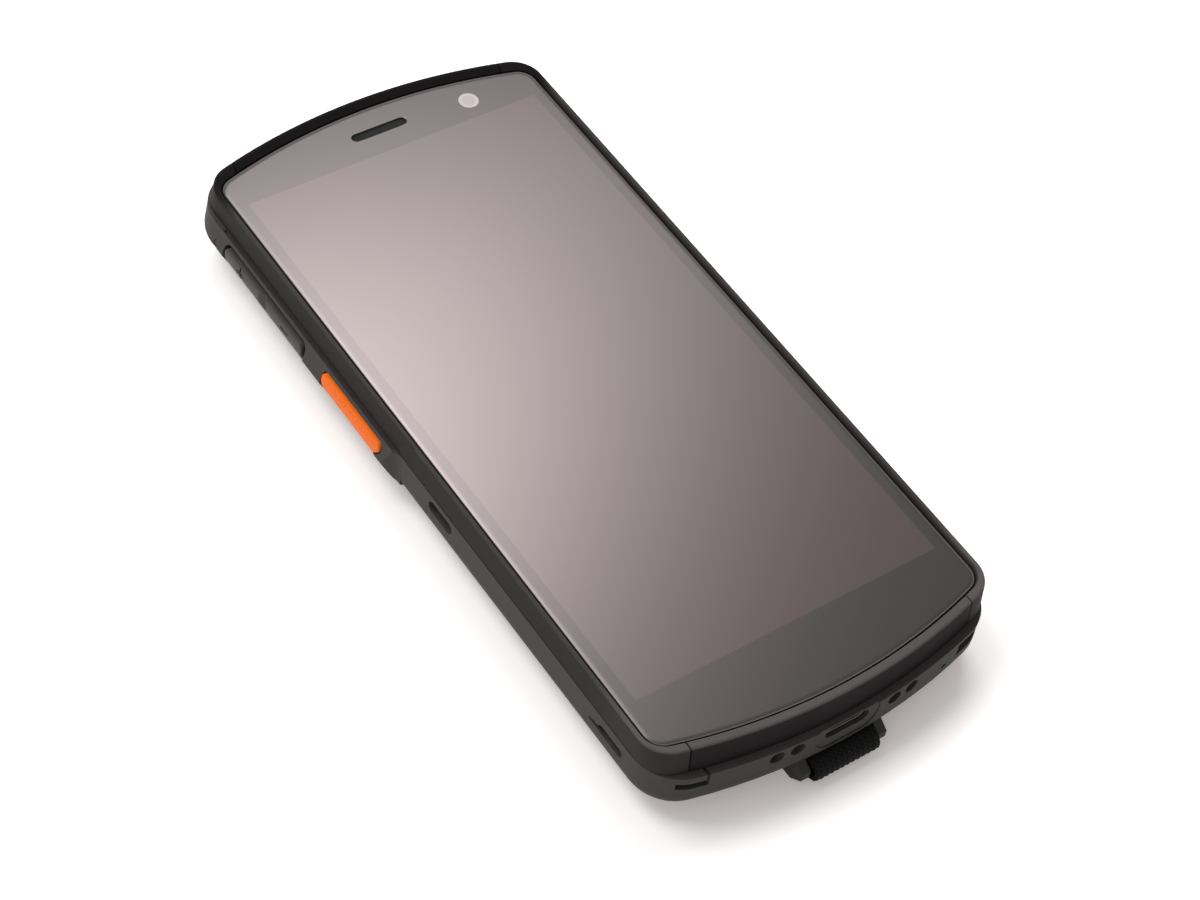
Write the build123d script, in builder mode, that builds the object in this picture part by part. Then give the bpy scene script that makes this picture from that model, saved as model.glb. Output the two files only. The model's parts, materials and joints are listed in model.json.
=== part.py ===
from build123d import *
from math import sqrt
import os

# A handheld data terminal lying on its back, screen upwards.
# X runs across it, +Y points to its top end and +Z comes out of the glass, in millimetres.
# The origin is under the middle of the whole object, on the surface that it lies on.

os.makedirs("parts", exist_ok=True)

# Overall body
body_length = 160.0
body_width = 71.0
bow_radius = 118.0
body_corner = 9.0
strap_overhang = 2.6
lug_height = 3.0
housing_depth = 9.6
rear_edge_radius = 4.4

# Rear housing walls
side_wall = 1.6
end_wall = 3.2
floor_thickness = 1.6
cavity_edge_radius = 3.0
cavity_corner = 12.0

# Front ring: hard frame with soft side rails
ring_height = 5.7
ring_end_step = 1.4
ring_side_step = 0.1
ring_flare_top = 1.45
ring_flare_bottom = 0.6
ring_corner = 6.0
ring_edge_radius = 0.45
rail_seam_x = body_width / 2 - 6.5
rail_seam_gap = 0.25
chassis_seat_thickness = 0.8
chassis_seat_width = 1.75

# Cover glass and display
glass_thickness = 1.1
glass_recess = 0.7
glass_gap = 0.3
glass_corner = 3.6
rim_side = 1.47
rim_top = 2.35
rim_bottom = 2.2
lip_slant = 0.4
lip_slant_top = 1.3
ledge_width = 1.2
adhesive_thickness = 0.3
adhesive_margin = 0.2
display_width = body_width - 8.5
display_length = body_length - 35.0
display_half = display_length / 2
display_border = 1.1
display_thickness = 1.9
display_offset = 1.15
earpiece_length = 11.8
earpiece_height = 1.9
earpiece_y = display_half + 5.65
front_camera_x = body_width / 2 - 16.3
front_camera_y = display_half + 4.5
front_camera_aperture = 3.9

# Key platform on each side
platform_bulge = 1.9
platform_run = 4.8
platform_ledge = 0.75
platform_shoulder = 0.95
platform_shoulder_drop = 1.0
platform_widest_drop = 4.0
platform_flat = 0.4
platform_lower_rise = 2.7
platform_lower_bulge = 0.5
platform_tuck = 3.2
platform_end_tuck = 0.05
groove_depth = 0.45
groove_width = 0.5
groove_end = display_half + 0.5
crease_y = display_half + 1.7
crease_width = 1.6
crease_depth = 0.5

# Places of the keys along the sides, from the top end down
rocker_end = display_half - 1.9
rocker_start = rocker_end - 27.7
scan_key_end = rocker_start - 7.0
scan_key_start = scan_key_end - 21.0
platform_start = scan_key_start - 3.4
power_key_end = display_half - 10.5
power_key_start = power_key_end - 12.0

# Keys and what holds them
key_gap = 0.25
key_crown = 1.85
rocker_crown = 1.85
key_travel = 0.5
key_drop = 3.7
key_corner = 1.2
scan_key_height = 5.3
scan_key_slant = 4.8
rocker_height = 4.4
rocker_clearance = 0.6
rocker_gap = 0.7
rocker_flange_width = 1.1
rocker_notch = 3.2
rocker_notch_depth = 0.9
mark_depth = 0.35
mark_length = 2.6
mark_width = 0.45
mark_inset = 5.9
mark_rise = 0.7
power_key_height = 4.4
key_lip_inset = 0.2
key_flange_thickness = 0.6
key_flange_width = 0.8
flange_clearance = 0.3
rest_clearance = 0.05
plunger_radius = 1.2
dome_radius = 2.0
dome_height = 0.5
dome_taper = 30
scan_plunger_spread = 5.0
rocker_plunger_inset = 3.2
key_edge_radius = 0.35
key_face_radius = 5.0
key_face_rise = 0.7
key_board_thickness = 0.7
key_board_height = 6.4
key_board_margin = 2.4
chassis_flange_thickness = 0.7
chassis_flange_drop = 8.0

# Bottom end
port_drop = 1.9
port_width = 9.1
port_height = 2.9
port_recess_width = 13.4
port_recess_height = 7.4
port_recess_depth = 0.35
port_lip = 0.8
shell_width = 8.94
shell_height = 3.16
shell_wall = 0.3
shell_length = 7.3
shell_clearance = 0.12
tongue_width = 6.7
tongue_thickness = 0.7
tongue_setback = 0.9
contact_spread = 14.05
contact_pitch = 3.95
contact_hole_radius = 1.4
contact_hole_depth = 2.0
contact_head_radius = 1.1
contact_head_depth = 0.5
contact_pin_radius = 0.7
contact_pin_length = 3.0
mic_x = body_width / 2 - 13.0
mic_drop = 3.8
mic_radius = 0.55
lanyard_inner_x = body_width / 2 - 8.7
lanyard_outer_x = body_width / 2 - 3.9
lanyard_drop = 2.3
lanyard_thickness = 1.5
lanyard_riser = 0.6
lanyard_riser_height = 3.1
corner_slot_depth = 2.2
speaker_slot_inner_x = body_width / 2 - 9.7
speaker_slot_height = 3.0
speaker_slot_outer_x = body_width / 2 - 2.3
corner_slot_rise = 8.0
speaker_slot_drop = 2.4
speaker_duct_width = 2.6
speaker_duct_height = 1.6

# Slots in the side walls
side_slot_start = -14.7
side_slot_length = 7.3
side_slot_height = 2.7
side_slot_drop = 2.55
grip_pocket_start = -display_half - 3.8
grip_pocket_length = 6.8
grip_pocket_height = 2.0
grip_pocket_drop = 3.0
grip_pocket_tail = 4.5
grip_tail_height = 0.9
slot_patch = 2.2
slot_floor = 0.6

# Scanner at the top end
window_width = 24.4
window_height = 6.4
window_thickness = 1.1
window_seat = 2.0
window_clearance = 0.1
window_drop = 4.4
window_border = 1.3
window_corner = 1.2
engine_width = 20.5
engine_height = 6.0
engine_depth = 11.5
engine_gap = 2.6
bracket_thickness = 0.5
engine_lens_radius = 1.7
engine_lens_length = 0.5

# Rear camera and flash
camera_x = body_width / 2 - 16.5
camera_y = display_half + 3.5
camera_ring_radius = 6.2
camera_ring_height = 0.8
camera_window_radius = 4.4
camera_window_thickness = 0.8
camera_module_size = 8.4
camera_module_height = 4.6
camera_barrel_radius = 3.4
flash_x = camera_x
flash_y = display_half - 9.0
flash_radius = 2.0
flash_thickness = 1.2

# Battery, its cover and its bay
battery_y = -13.9
battery_width = body_width - 27.6
battery_length = display_length - 53.6
battery_thickness = 7.3
battery_clearance = 0.3
battery_corner = 2.0
bay_wall = 1.0
bay_height = 6.2
cover_overlap = 3.6
cover_thickness = 1.25
cover_gap = 0.15
cover_seat_thickness = 1.6
contact_block_width = 14.0
contact_block_depth = 3.0
contact_window_height = 2.4
contact_blade_width = 1.0
battery_edge_radius = 0.8
battery_seal_inset = 0.1
battery_seal_width = 0.55
battery_seal_depth = 0.4

# Screws
screw_x = body_width / 2 - 6.9
screw_rows = (display_half + 4.5, scan_key_start - 3.3, 6.5 - display_half)
screw_radius = 0.8
screw_head_radius = 1.65
screw_head_height = 1.1
screw_head_setback = 0.15
screw_socket_radius = 0.75
screw_socket_depth = 0.6
boss_radius = 2.5
boss_drop = 1.2
thread_clearance = 0.02
hole_clearance = 0.15
cover_screw_radius = 0.7
cover_screw_head_radius = 1.3
cover_screw_head_height = 0.6
cover_screw_length = 1.9
cover_screw_inset = 1.75
cover_screw_end = 8.0
board_screw_radius = 0.6
board_screw_head_radius = 1.1
board_screw_head_height = 0.5
board_screw_length = 1.6
board_screw_x = body_width / 2 - 11.0
board_screw_edge = 2.6
usb_screw_x = 11.5
post_radius = 1.6

# Boards and inner pieces
board_thickness = 1.0
main_board_drop = 2.6
main_board_half_width = body_width / 2 - 8.5
main_board_end = display_half - 2.5
main_board_arm_start = 12.5
main_board_arm_end = body_width / 2 - 10.5
main_board_arm_length = 12.0
shield_height = 1.6
shield_width = 18.0
shield_length = 22.0
shield_spread = body_width / 2 - 23.5
shield_y = main_board_end - 16.0
usb_board_half_width = body_width / 2 - 11.0
usb_board_start = -display_half - 10.1
usb_board_end = 1.5 - display_half
chassis_thickness = 1.0
chassis_clearance = 0.15
seal_width = 0.5
seal_depth = 0.5
seal_inset = 0.35
receiver_length = 12.4
receiver_width = 6.0
camera_body_radius = 3.2
motor_radius = 5.0
motor_thickness = 2.6
motor_x = body_width / 2 - 17.0
flex_width = 9.0
flex_thickness = 0.2
flex_landing = 4.0
flex_rise = 2.0
flex_radius = 0.6
speaker_length = 11.0
speaker_width = 10.0
speaker_height = 2.9
mesh_thickness = 0.3
mic_size = 3.0
mic_height = 1.1
card_width = 26.0
card_length = 17.0
card_height = 1.5
antenna_width = battery_width - 5.4
antenna_length = battery_length - 19.4
antenna_track = 2.4
antenna_thickness = 0.25

# Hand strap
strap_width = 13.6
webbing_thickness = 1.1
webbing_lift = 0.5
fold_inner_radius = 1.3
fold_run = 4.4
fold_back = 16.0
fold_slit = 0.2
strap_bar_radius = 0.8
strap_bar_length = 17.0
strap_bar_shift = 0.4
strap_gap = 0.35
lug_width = 1.8
lug_nose = 0.5
lug_slant = 2.4
top_anchor_y = display_half - 6.5
anchor_roof = 1.3
pad_width = 34.0
pad_length = display_length - 37.0
pad_thickness = 1.1
pad_y = -10.0
pad_corner = 9.0

# Levels, from the surface upwards
rear_face = lug_height
floor_top = rear_face + floor_thickness
seam_z = rear_face + housing_depth
lip_z = seam_z + ring_height
glass_top = lip_z - glass_recess
glass_bottom = glass_top - glass_thickness
ledge_z = glass_bottom - adhesive_thickness
display_bottom = glass_bottom - display_thickness
chassis_bottom = seam_z + chassis_seat_thickness
chassis_top = chassis_bottom + chassis_thickness
boss_top = seam_z - boss_drop
board_top = seam_z - main_board_drop + board_thickness
board_bottom = board_top - board_thickness

# Places along the length
top_apex = (body_length + strap_overhang) / 2
bottom_apex = top_apex - body_length
body_half = body_width / 2
ring_half = body_half - ring_side_step
ring_top = top_apex - ring_end_step
ring_bottom = bottom_apex + ring_end_step
glass_half = ring_half - rim_side
glass_end_top = ring_top - ring_flare_top - rim_top
glass_end_bottom = ring_bottom + ring_flare_bottom + rim_bottom
display_y = (glass_end_top + glass_end_bottom) / 2 + display_offset
platform_half = body_half + platform_bulge
cavity_half = body_half - side_wall
key_z = seam_z - key_drop
port_z = seam_z - port_drop
window_z = seam_z - window_drop

# Battery bay
bay_y = display_y + battery_y
bay_half_width = battery_width / 2 + battery_clearance
bay_low = bay_y - battery_length / 2 - battery_clearance
bay_top = bay_y + battery_length / 2 + battery_clearance
cover_seat_z = rear_face + cover_thickness
seat_top = cover_seat_z + cover_seat_thickness
cover_screw_x = bay_half_width + cover_screw_inset
cover_screw_places = [
    (side * cover_screw_x, bay_y + end * (battery_length / 2 - cover_screw_end)) for side in (-1, 1) for end in (-1, 1)
]

# Boards
main_board_low = bay_top + bay_wall + rest_clearance
main_board_high = display_y + main_board_end
main_board_screw_places = [
    (side * board_screw_x, y) for side in (-1, 1) for y in (main_board_low + board_screw_edge,
                                                            main_board_high - board_screw_edge)
]
shield_places = [(-shield_spread, display_y + shield_y), (shield_spread, display_y + shield_y)]
usb_board_top = port_z - shell_height / 2 - thread_clearance
usb_board_bottom = usb_board_top - board_thickness
usb_board_low = display_y + usb_board_start
usb_board_high = display_y + usb_board_end
usb_board_screw_places = [(side * usb_screw_x, (usb_board_low + usb_board_high) / 2) for side in (-1, 1)]
contact_places = [side * x for side in (-1, 1) for x in (contact_spread, contact_spread - contact_pitch)]
side_slots = (
    (side_slot_start, side_slot_length, side_slot_height, side_slot_drop),
    (grip_pocket_start, grip_pocket_length, grip_pocket_height, grip_pocket_drop),
)
camera_window_top = rear_face + floor_thickness / 2 - rest_clearance


class BowedOutline(BaseSketchObject):
    """The terminal's plan outline, inset from the body: straight sides, bowed ends, round corners"""

    _applies_to = [BuildSketch._tag]

    def __init__(self, half_width, bottom, top, corner, mode=Mode.ADD):
        bottom_bow = bow_radius - (bottom - bottom_apex)
        top_bow = bow_radius - (top_apex - top)
        low = bottom + bottom_bow - sqrt(bottom_bow**2 - half_width**2)
        high = top - top_bow + sqrt(top_bow**2 - half_width**2)
        with BuildSketch() as outline:
            with BuildLine():
                Line((-half_width, high), (-half_width, low))
                ThreePointArc((-half_width, low), (0, bottom), (half_width, low))
                Line((half_width, low), (half_width, high))
                ThreePointArc((half_width, high), (0, top), (-half_width, high))
            make_face()
            fillet(outline.vertices(), corner)
        super().__init__(obj=outline.sketch, rotation=0, align=None, mode=mode)


def glass_outline(inset, mode=Mode.ADD):
    """Outline of the cover glass, moved inwards by inset"""
    return BowedOutline(
        glass_half - inset, glass_end_bottom + inset, glass_end_top - inset, glass_corner - inset, mode
    )


def body_outline(side_inset, end_inset, corner, mode=Mode.ADD):
    """Outline of the body, moved inwards"""
    return BowedOutline(body_half - side_inset, bottom_apex + end_inset, top_apex - end_inset, corner, mode)


def seal_outline(inset, mode=Mode.ADD):
    """Outline of the rim seal, moved inwards"""
    side_inset = ring_side_step + seal_inset + inset
    end_inset = ring_end_step + seal_inset + inset
    return body_outline(side_inset, end_inset, ring_corner - seal_inset - inset, mode)


def wall_setback(x):
    """How far the bowed end wall lies behind its apex at x"""
    return bow_radius - sqrt(bow_radius**2 - x**2)


def side_plane(side, x):
    """Plane facing outwards from the left (-1) or right (1) side, with local Y upwards"""
    return Plane(origin=(side * x, 0, 0), x_dir=(0, side, 0), z_dir=(side, 0, 0))


def end_plane(y):
    """Plane facing out of the bottom end, with local X across and local Y upwards"""
    return Plane(origin=(0, y, 0), x_dir=(1, 0, 0), z_dir=(0, -1, 0))


def top_plane(y):
    """Plane facing out of the top end, with local Y upwards"""
    return Plane(origin=(0, y, 0), x_dir=(-1, 0, 0), z_dir=(0, 1, 0))


def key_outline(side, start, end, height, slant, grow):
    """Face outline of a key between two places along the side, grown all round"""
    low = key_z - height / 2 - grow
    high = key_z + height / 2 + grow
    lean = slant / height
    slope = lean * (high - low)
    reach = grow * (lean + sqrt(1 + lean**2))
    with BuildSketch() as face:
        with BuildLine():
            Polyline(
                (start - reach, high), (start - reach + slope, low), (end + grow, low), (end + grow, high),
                close=True,
            )
        make_face()
        fillet(face.vertices(), key_corner + grow)
        if side < 0:
            mirror(about=Plane.YZ, mode=Mode.REPLACE)
    return face.sketch


def scan_key_outline(side, grow):
    """Face outline of a scan key"""
    return key_outline(side, display_y + scan_key_start, display_y + scan_key_end, scan_key_height,
                       scan_key_slant, grow)


def rocker_outline(side, grow):
    """Face outline of the volume rocker"""
    return key_outline(side, display_y + rocker_start, display_y + rocker_end, rocker_height, 0, grow)


def power_key_outline(side, grow):
    """Face outline of the power key"""
    return key_outline(side, display_y + power_key_start, display_y + power_key_end, power_key_height, 0, grow)


def bay_outline(grow, mode=Mode.ADD):
    """Outline of the battery bay, grown all round"""
    with BuildSketch() as outline:
        with Locations((0, bay_y)):
            RectangleRounded(2 * (bay_half_width + grow), bay_top - bay_low + 2 * grow, battery_corner + grow)
    return add(outline.sketch, mode=mode)


def corner_band(x_from, x_to, depth, skin=-1.0):
    """Plan of a band that follows the body's bottom corner between two places across"""
    with BuildSketch() as band:
        body_outline(skin, skin, body_corner - skin)
        body_outline(depth, depth, body_corner - depth, Mode.SUBTRACT)
        with Locations(((x_from + x_to) / 2, bottom_apex)):
            Rectangle(x_to - x_from, 2 * corner_slot_rise, mode=Mode.INTERSECT)
    return add(band.sketch)


def loop_outline(bar_y, radius, run_y, run_z, run_radius):
    """Side view of a band drawn from round a strap bar to a run of webbing"""
    with BuildSketch() as loop:
        with Locations((bar_y, webbing_lift + webbing_thickness + fold_inner_radius)):
            Circle(radius)
        with Locations((run_y, run_z)):
            Circle(run_radius)
        make_hull()
    return loop.sketch


def strap_fold(bar_y, direction):
    """Side view of a webbing end looped round its bar and laid back on itself"""
    run_y = bar_y + direction * fold_run
    run_z = webbing_lift + webbing_thickness + fold_slit / 2
    run_radius = webbing_thickness + fold_slit / 2
    with BuildSketch() as profile:
        add(loop_outline(bar_y, fold_inner_radius + webbing_thickness, run_y, run_z, run_radius))
        with Locations((run_y + direction * fold_back / 2, run_z)):
            Rectangle(fold_back, 2 * run_radius)
            Rectangle(fold_back, fold_slit, mode=Mode.SUBTRACT)
        add(loop_outline(bar_y, fold_inner_radius, run_y, run_z, fold_slit / 2), mode=Mode.SUBTRACT)
    return profile.sketch


def finish(piece, name):
    """Labels a finished piece and writes its file"""
    piece.part.label = name
    export_step(piece.part, f"parts/{name}.step")


# Front ring blank with its seal groove, which the hard frame and the two soft rails share
with BuildPart() as ring_blank:
    with BuildSketch(Plane.XY.offset(seam_z)):
        BowedOutline(ring_half, ring_bottom, ring_top, ring_corner)
    with BuildSketch(Plane.XY.offset(lip_z)):
        BowedOutline(ring_half, ring_bottom + ring_flare_bottom, ring_top - ring_flare_top, ring_corner)
    loft(ruled=True)
    fillet(ring_blank.faces().sort_by(Axis.Z)[-1].edges(), ring_edge_radius)
    with BuildSketch(Plane.XY.offset(seam_z)):
        seal_outline(0)
        seal_outline(seal_width, Mode.SUBTRACT)
    extrude(amount=seal_depth, mode=Mode.SUBTRACT)

# Space over the glass that widens upwards, so that the ring's inner edge is slanted, most at the top end
with BuildPart() as lip_space:
    with BuildSketch(Plane.XY.offset(glass_top)):
        glass_outline(-glass_gap)
    with BuildSketch(Plane.XY.offset(lip_z)):
        BowedOutline(
            glass_half + glass_gap + lip_slant,
            glass_end_bottom - glass_gap - lip_slant,
            glass_end_top + glass_gap + lip_slant_top,
            glass_corner + glass_gap + lip_slant,
        )
    loft(ruled=True)

# Hard front frame: end bars, glass ledge, chassis seat and screw pads
with BuildPart() as front_frame:
    add(ring_blank.part)
    with BuildSketch(Plane.XY.offset(seam_z)):
        Rectangle(2 * body_width, 2 * body_length)
        glass_outline(-glass_gap, Mode.SUBTRACT)
        Rectangle(2 * rail_seam_x, 2 * body_length, mode=Mode.SUBTRACT)
    extrude(amount=ring_height, mode=Mode.SUBTRACT)
    with BuildSketch(Plane.XY.offset(ledge_z)):
        glass_outline(-glass_gap)
    extrude(amount=lip_z - ledge_z, mode=Mode.SUBTRACT)
    add(lip_space.part, mode=Mode.SUBTRACT)
    with BuildSketch(Plane.XY.offset(chassis_bottom)):
        glass_outline(ledge_width)
    extrude(amount=ledge_z - chassis_bottom, mode=Mode.SUBTRACT)
    with BuildSketch(Plane.XY.offset(seam_z)):
        glass_outline(ledge_width + chassis_seat_width)
    extrude(amount=chassis_seat_thickness, mode=Mode.SUBTRACT)
    for screw_y in screw_rows:
        for side in (-1, 1):
            with BuildSketch(Plane.XY.offset(seam_z)):
                with Locations((side * (screw_x + boss_radius / 2), screw_y)):
                    Rectangle(boss_radius, 2 * boss_radius)
            extrude(amount=chassis_seat_thickness)
            with BuildSketch(Plane.XY.offset(boss_top)):
                with Locations((side * screw_x, screw_y)):
                    Circle(boss_radius)
            extrude(amount=chassis_bottom - boss_top)
            with BuildSketch(Plane.XY.offset(boss_top)):
                with Locations((side * screw_x, screw_y)):
                    Circle(screw_radius + thread_clearance)
            extrude(amount=chassis_bottom - boss_top, mode=Mode.SUBTRACT)
finish(front_frame, "front_frame")

# Soft rails along the sides and round the corners
for side, name in ((-1, "side_rail_left"), (1, "side_rail_right")):
    with BuildPart() as side_rail:
        add(ring_blank.part)
        with BuildSketch(Plane.XY.offset(seam_z)):
            glass_outline(-glass_gap)
            with Locations((-side * body_width / 2, 0)):
                Rectangle(body_width + 2 * (rail_seam_x + rail_seam_gap), 2 * body_length)
        extrude(amount=ring_height, mode=Mode.SUBTRACT)
        add(lip_space.part, mode=Mode.SUBTRACT)
    finish(side_rail, name)

# Cover glass with its earpiece slot
with BuildPart() as cover_glass:
    with BuildSketch(Plane.XY.offset(glass_bottom)):
        glass_outline(0)
        with Locations((0, display_y + earpiece_y)):
            SlotOverall(earpiece_length, earpiece_height, mode=Mode.SUBTRACT)
    extrude(amount=glass_thickness)
    chamfer(cover_glass.faces().sort_by(Axis.Z)[-1].outer_wire().edges(), rest_clearance * 3)
finish(cover_glass, "cover_glass")

# Adhesive frame between the glass and the ledge
with BuildPart() as display_adhesive:
    with BuildSketch(Plane.XY.offset(ledge_z)):
        glass_outline(adhesive_margin)
        glass_outline(ledge_width, Mode.SUBTRACT)
    extrude(amount=adhesive_thickness)
finish(display_adhesive, "display_adhesive")

# Touch display bonded under the glass
with BuildPart() as touch_display:
    with BuildSketch(Plane.XY.offset(display_bottom)):
        with Locations((0, display_y)):
            RectangleRounded(display_width + 2 * display_border, display_length + 2 * display_border, 1.0)
    extrude(amount=display_thickness)
finish(touch_display, "touch_display")

# Earpiece: mesh in the glass slot, receiver behind it
with BuildPart() as earpiece_mesh:
    with BuildSketch(Plane.XY.offset(glass_bottom)):
        with Locations((0, display_y + earpiece_y)):
            SlotOverall(earpiece_length - 2 * rest_clearance, earpiece_height - 2 * rest_clearance)
    extrude(amount=glass_thickness - glass_gap)
finish(earpiece_mesh, "earpiece_mesh")

with BuildPart() as earpiece_receiver:
    with BuildSketch(Plane.XY.offset(chassis_top)):
        with Locations((0, display_y + earpiece_y)):
            RectangleRounded(receiver_length, receiver_width, receiver_width / 4)
    extrude(amount=glass_bottom - chassis_top)
finish(earpiece_receiver, "earpiece_receiver")

# Front camera standing on the chassis under the glass
with BuildPart() as front_camera:
    with BuildSketch(Plane.XY.offset(chassis_top)):
        with Locations((front_camera_x, display_y + front_camera_y)):
            Circle(camera_body_radius)
    extrude(amount=display_thickness - chassis_thickness)
    with BuildSketch(Plane.XY.offset(chassis_top)):
        with Locations((front_camera_x, display_y + front_camera_y)):
            Circle(front_camera_aperture / 2)
    extrude(amount=glass_bottom - chassis_top)
finish(front_camera, "front_camera")

# Metal chassis plate with a flange behind each row of keys
key_row_start = display_y + scan_key_start
key_row_end = display_y + rocker_end
chassis_flange_x = glass_half - ledge_width - chassis_seat_width - chassis_clearance
with BuildPart() as mid_chassis:
    with BuildSketch(Plane.XY.offset(chassis_bottom)):
        glass_outline(ledge_width + chassis_clearance)
    extrude(amount=chassis_thickness)
    for side in (-1, 1):
        with BuildSketch(Plane.XY.offset(chassis_top)):
            with Locations(
                (side * (chassis_flange_x - chassis_flange_thickness / 2), (key_row_start + key_row_end) / 2)
            ):
                Rectangle(chassis_flange_thickness, key_row_end - key_row_start)
        extrude(amount=-chassis_flange_drop)
    with BuildSketch(Plane.XY.offset(board_top)):
        with Locations(*main_board_screw_places):
            Circle(post_radius)
    extrude(amount=chassis_bottom - board_top)
    with BuildSketch(Plane.XY.offset(board_top)):
        with Locations(*main_board_screw_places):
            Circle(board_screw_radius + thread_clearance)
    extrude(amount=board_screw_length + rest_clearance, mode=Mode.SUBTRACT)
finish(mid_chassis, "mid_chassis")

# Key platforms: side walls that widen from the scan keys up to the top corners and round them
platform_low = display_y + platform_start
platform_full = platform_low + platform_run
platform_levels = (
    (rear_face, -platform_tuck),
    (rear_face + platform_lower_rise, platform_lower_bulge),
    (seam_z - platform_widest_drop - platform_flat, platform_bulge),
    (seam_z - platform_widest_drop, platform_bulge),
    (seam_z - platform_shoulder_drop, platform_shoulder),
    (seam_z, platform_ledge),
)
with BuildPart() as platforms:
    for level, bulge in platform_levels:
        tuck = max(-bulge, 0) + platform_end_tuck
        with BuildSketch(Plane.XY.offset(level)):
            BowedOutline(body_half + bulge, bottom_apex + tuck, top_apex - tuck, body_corner + bulge)
    loft(ruled=True)
    with BuildSketch(Plane.XY.offset(rear_face)):
        with BuildLine():
            for side in (-1, 1):
                Spline(
                    (side * body_half, platform_low), (side * platform_half, platform_full),
                    tangents=[(0, 1), (0, 1)],
                )
                Line((side * platform_half, platform_full), (side * platform_half, top_apex))
            Line((-body_half, platform_low), (body_half, platform_low))
            Line((-platform_half, top_apex), (platform_half, top_apex))
        make_face()
    extrude(amount=housing_depth, mode=Mode.INTERSECT)

# Inside space of the rear housing
with BuildPart() as cavity:
    with BuildSketch(Plane.XY.offset(floor_top)):
        body_outline(side_wall, end_wall, cavity_corner)
    extrude(amount=housing_depth)
    fillet(cavity.faces().sort_by(Axis.Z)[0].edges(), cavity_edge_radius)

# Keys and their places
key_lip_x = body_half - key_lip_inset
key_board_x = chassis_flange_x
plunger_tip_x = key_board_x + key_board_thickness + dome_height + key_travel + rest_clearance
scan_key_middle = display_y + (scan_key_start + scan_key_end) / 2
power_key_middle = display_y + (power_key_start + power_key_end) / 2
scan_plungers = (scan_key_middle - scan_plunger_spread, scan_key_middle + scan_plunger_spread)
rocker_plungers = (display_y + rocker_start + rocker_plunger_inset, display_y + rocker_end - rocker_plunger_inset)
key_cuts = (
    (-1, scan_key_outline, key_gap, key_flange_width),
    (1, scan_key_outline, key_gap, key_flange_width),
    (-1, rocker_outline, rocker_gap, rocker_flange_width),
    (1, power_key_outline, key_gap, key_flange_width),
)
sliding_keys = (
    (-1, scan_key_outline, "scan_key_left", scan_plungers),
    (1, scan_key_outline, "scan_key_right", scan_plungers),
    (1, power_key_outline, "power_key", (power_key_middle,)),
)
dome_places = {-1: scan_plungers + rocker_plungers, 1: scan_plungers + (power_key_middle,)}

# Strap anchors
fold_radius = fold_inner_radius + webbing_thickness
anchor_z = webbing_lift + fold_radius
bottom_fold_y = bottom_apex - strap_overhang + fold_radius
top_fold_y = display_y + top_anchor_y
strap_folds = ((bottom_fold_y, 1), (top_fold_y, -1))
lug_x = strap_width / 2 + strap_gap + lug_width / 2

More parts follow.
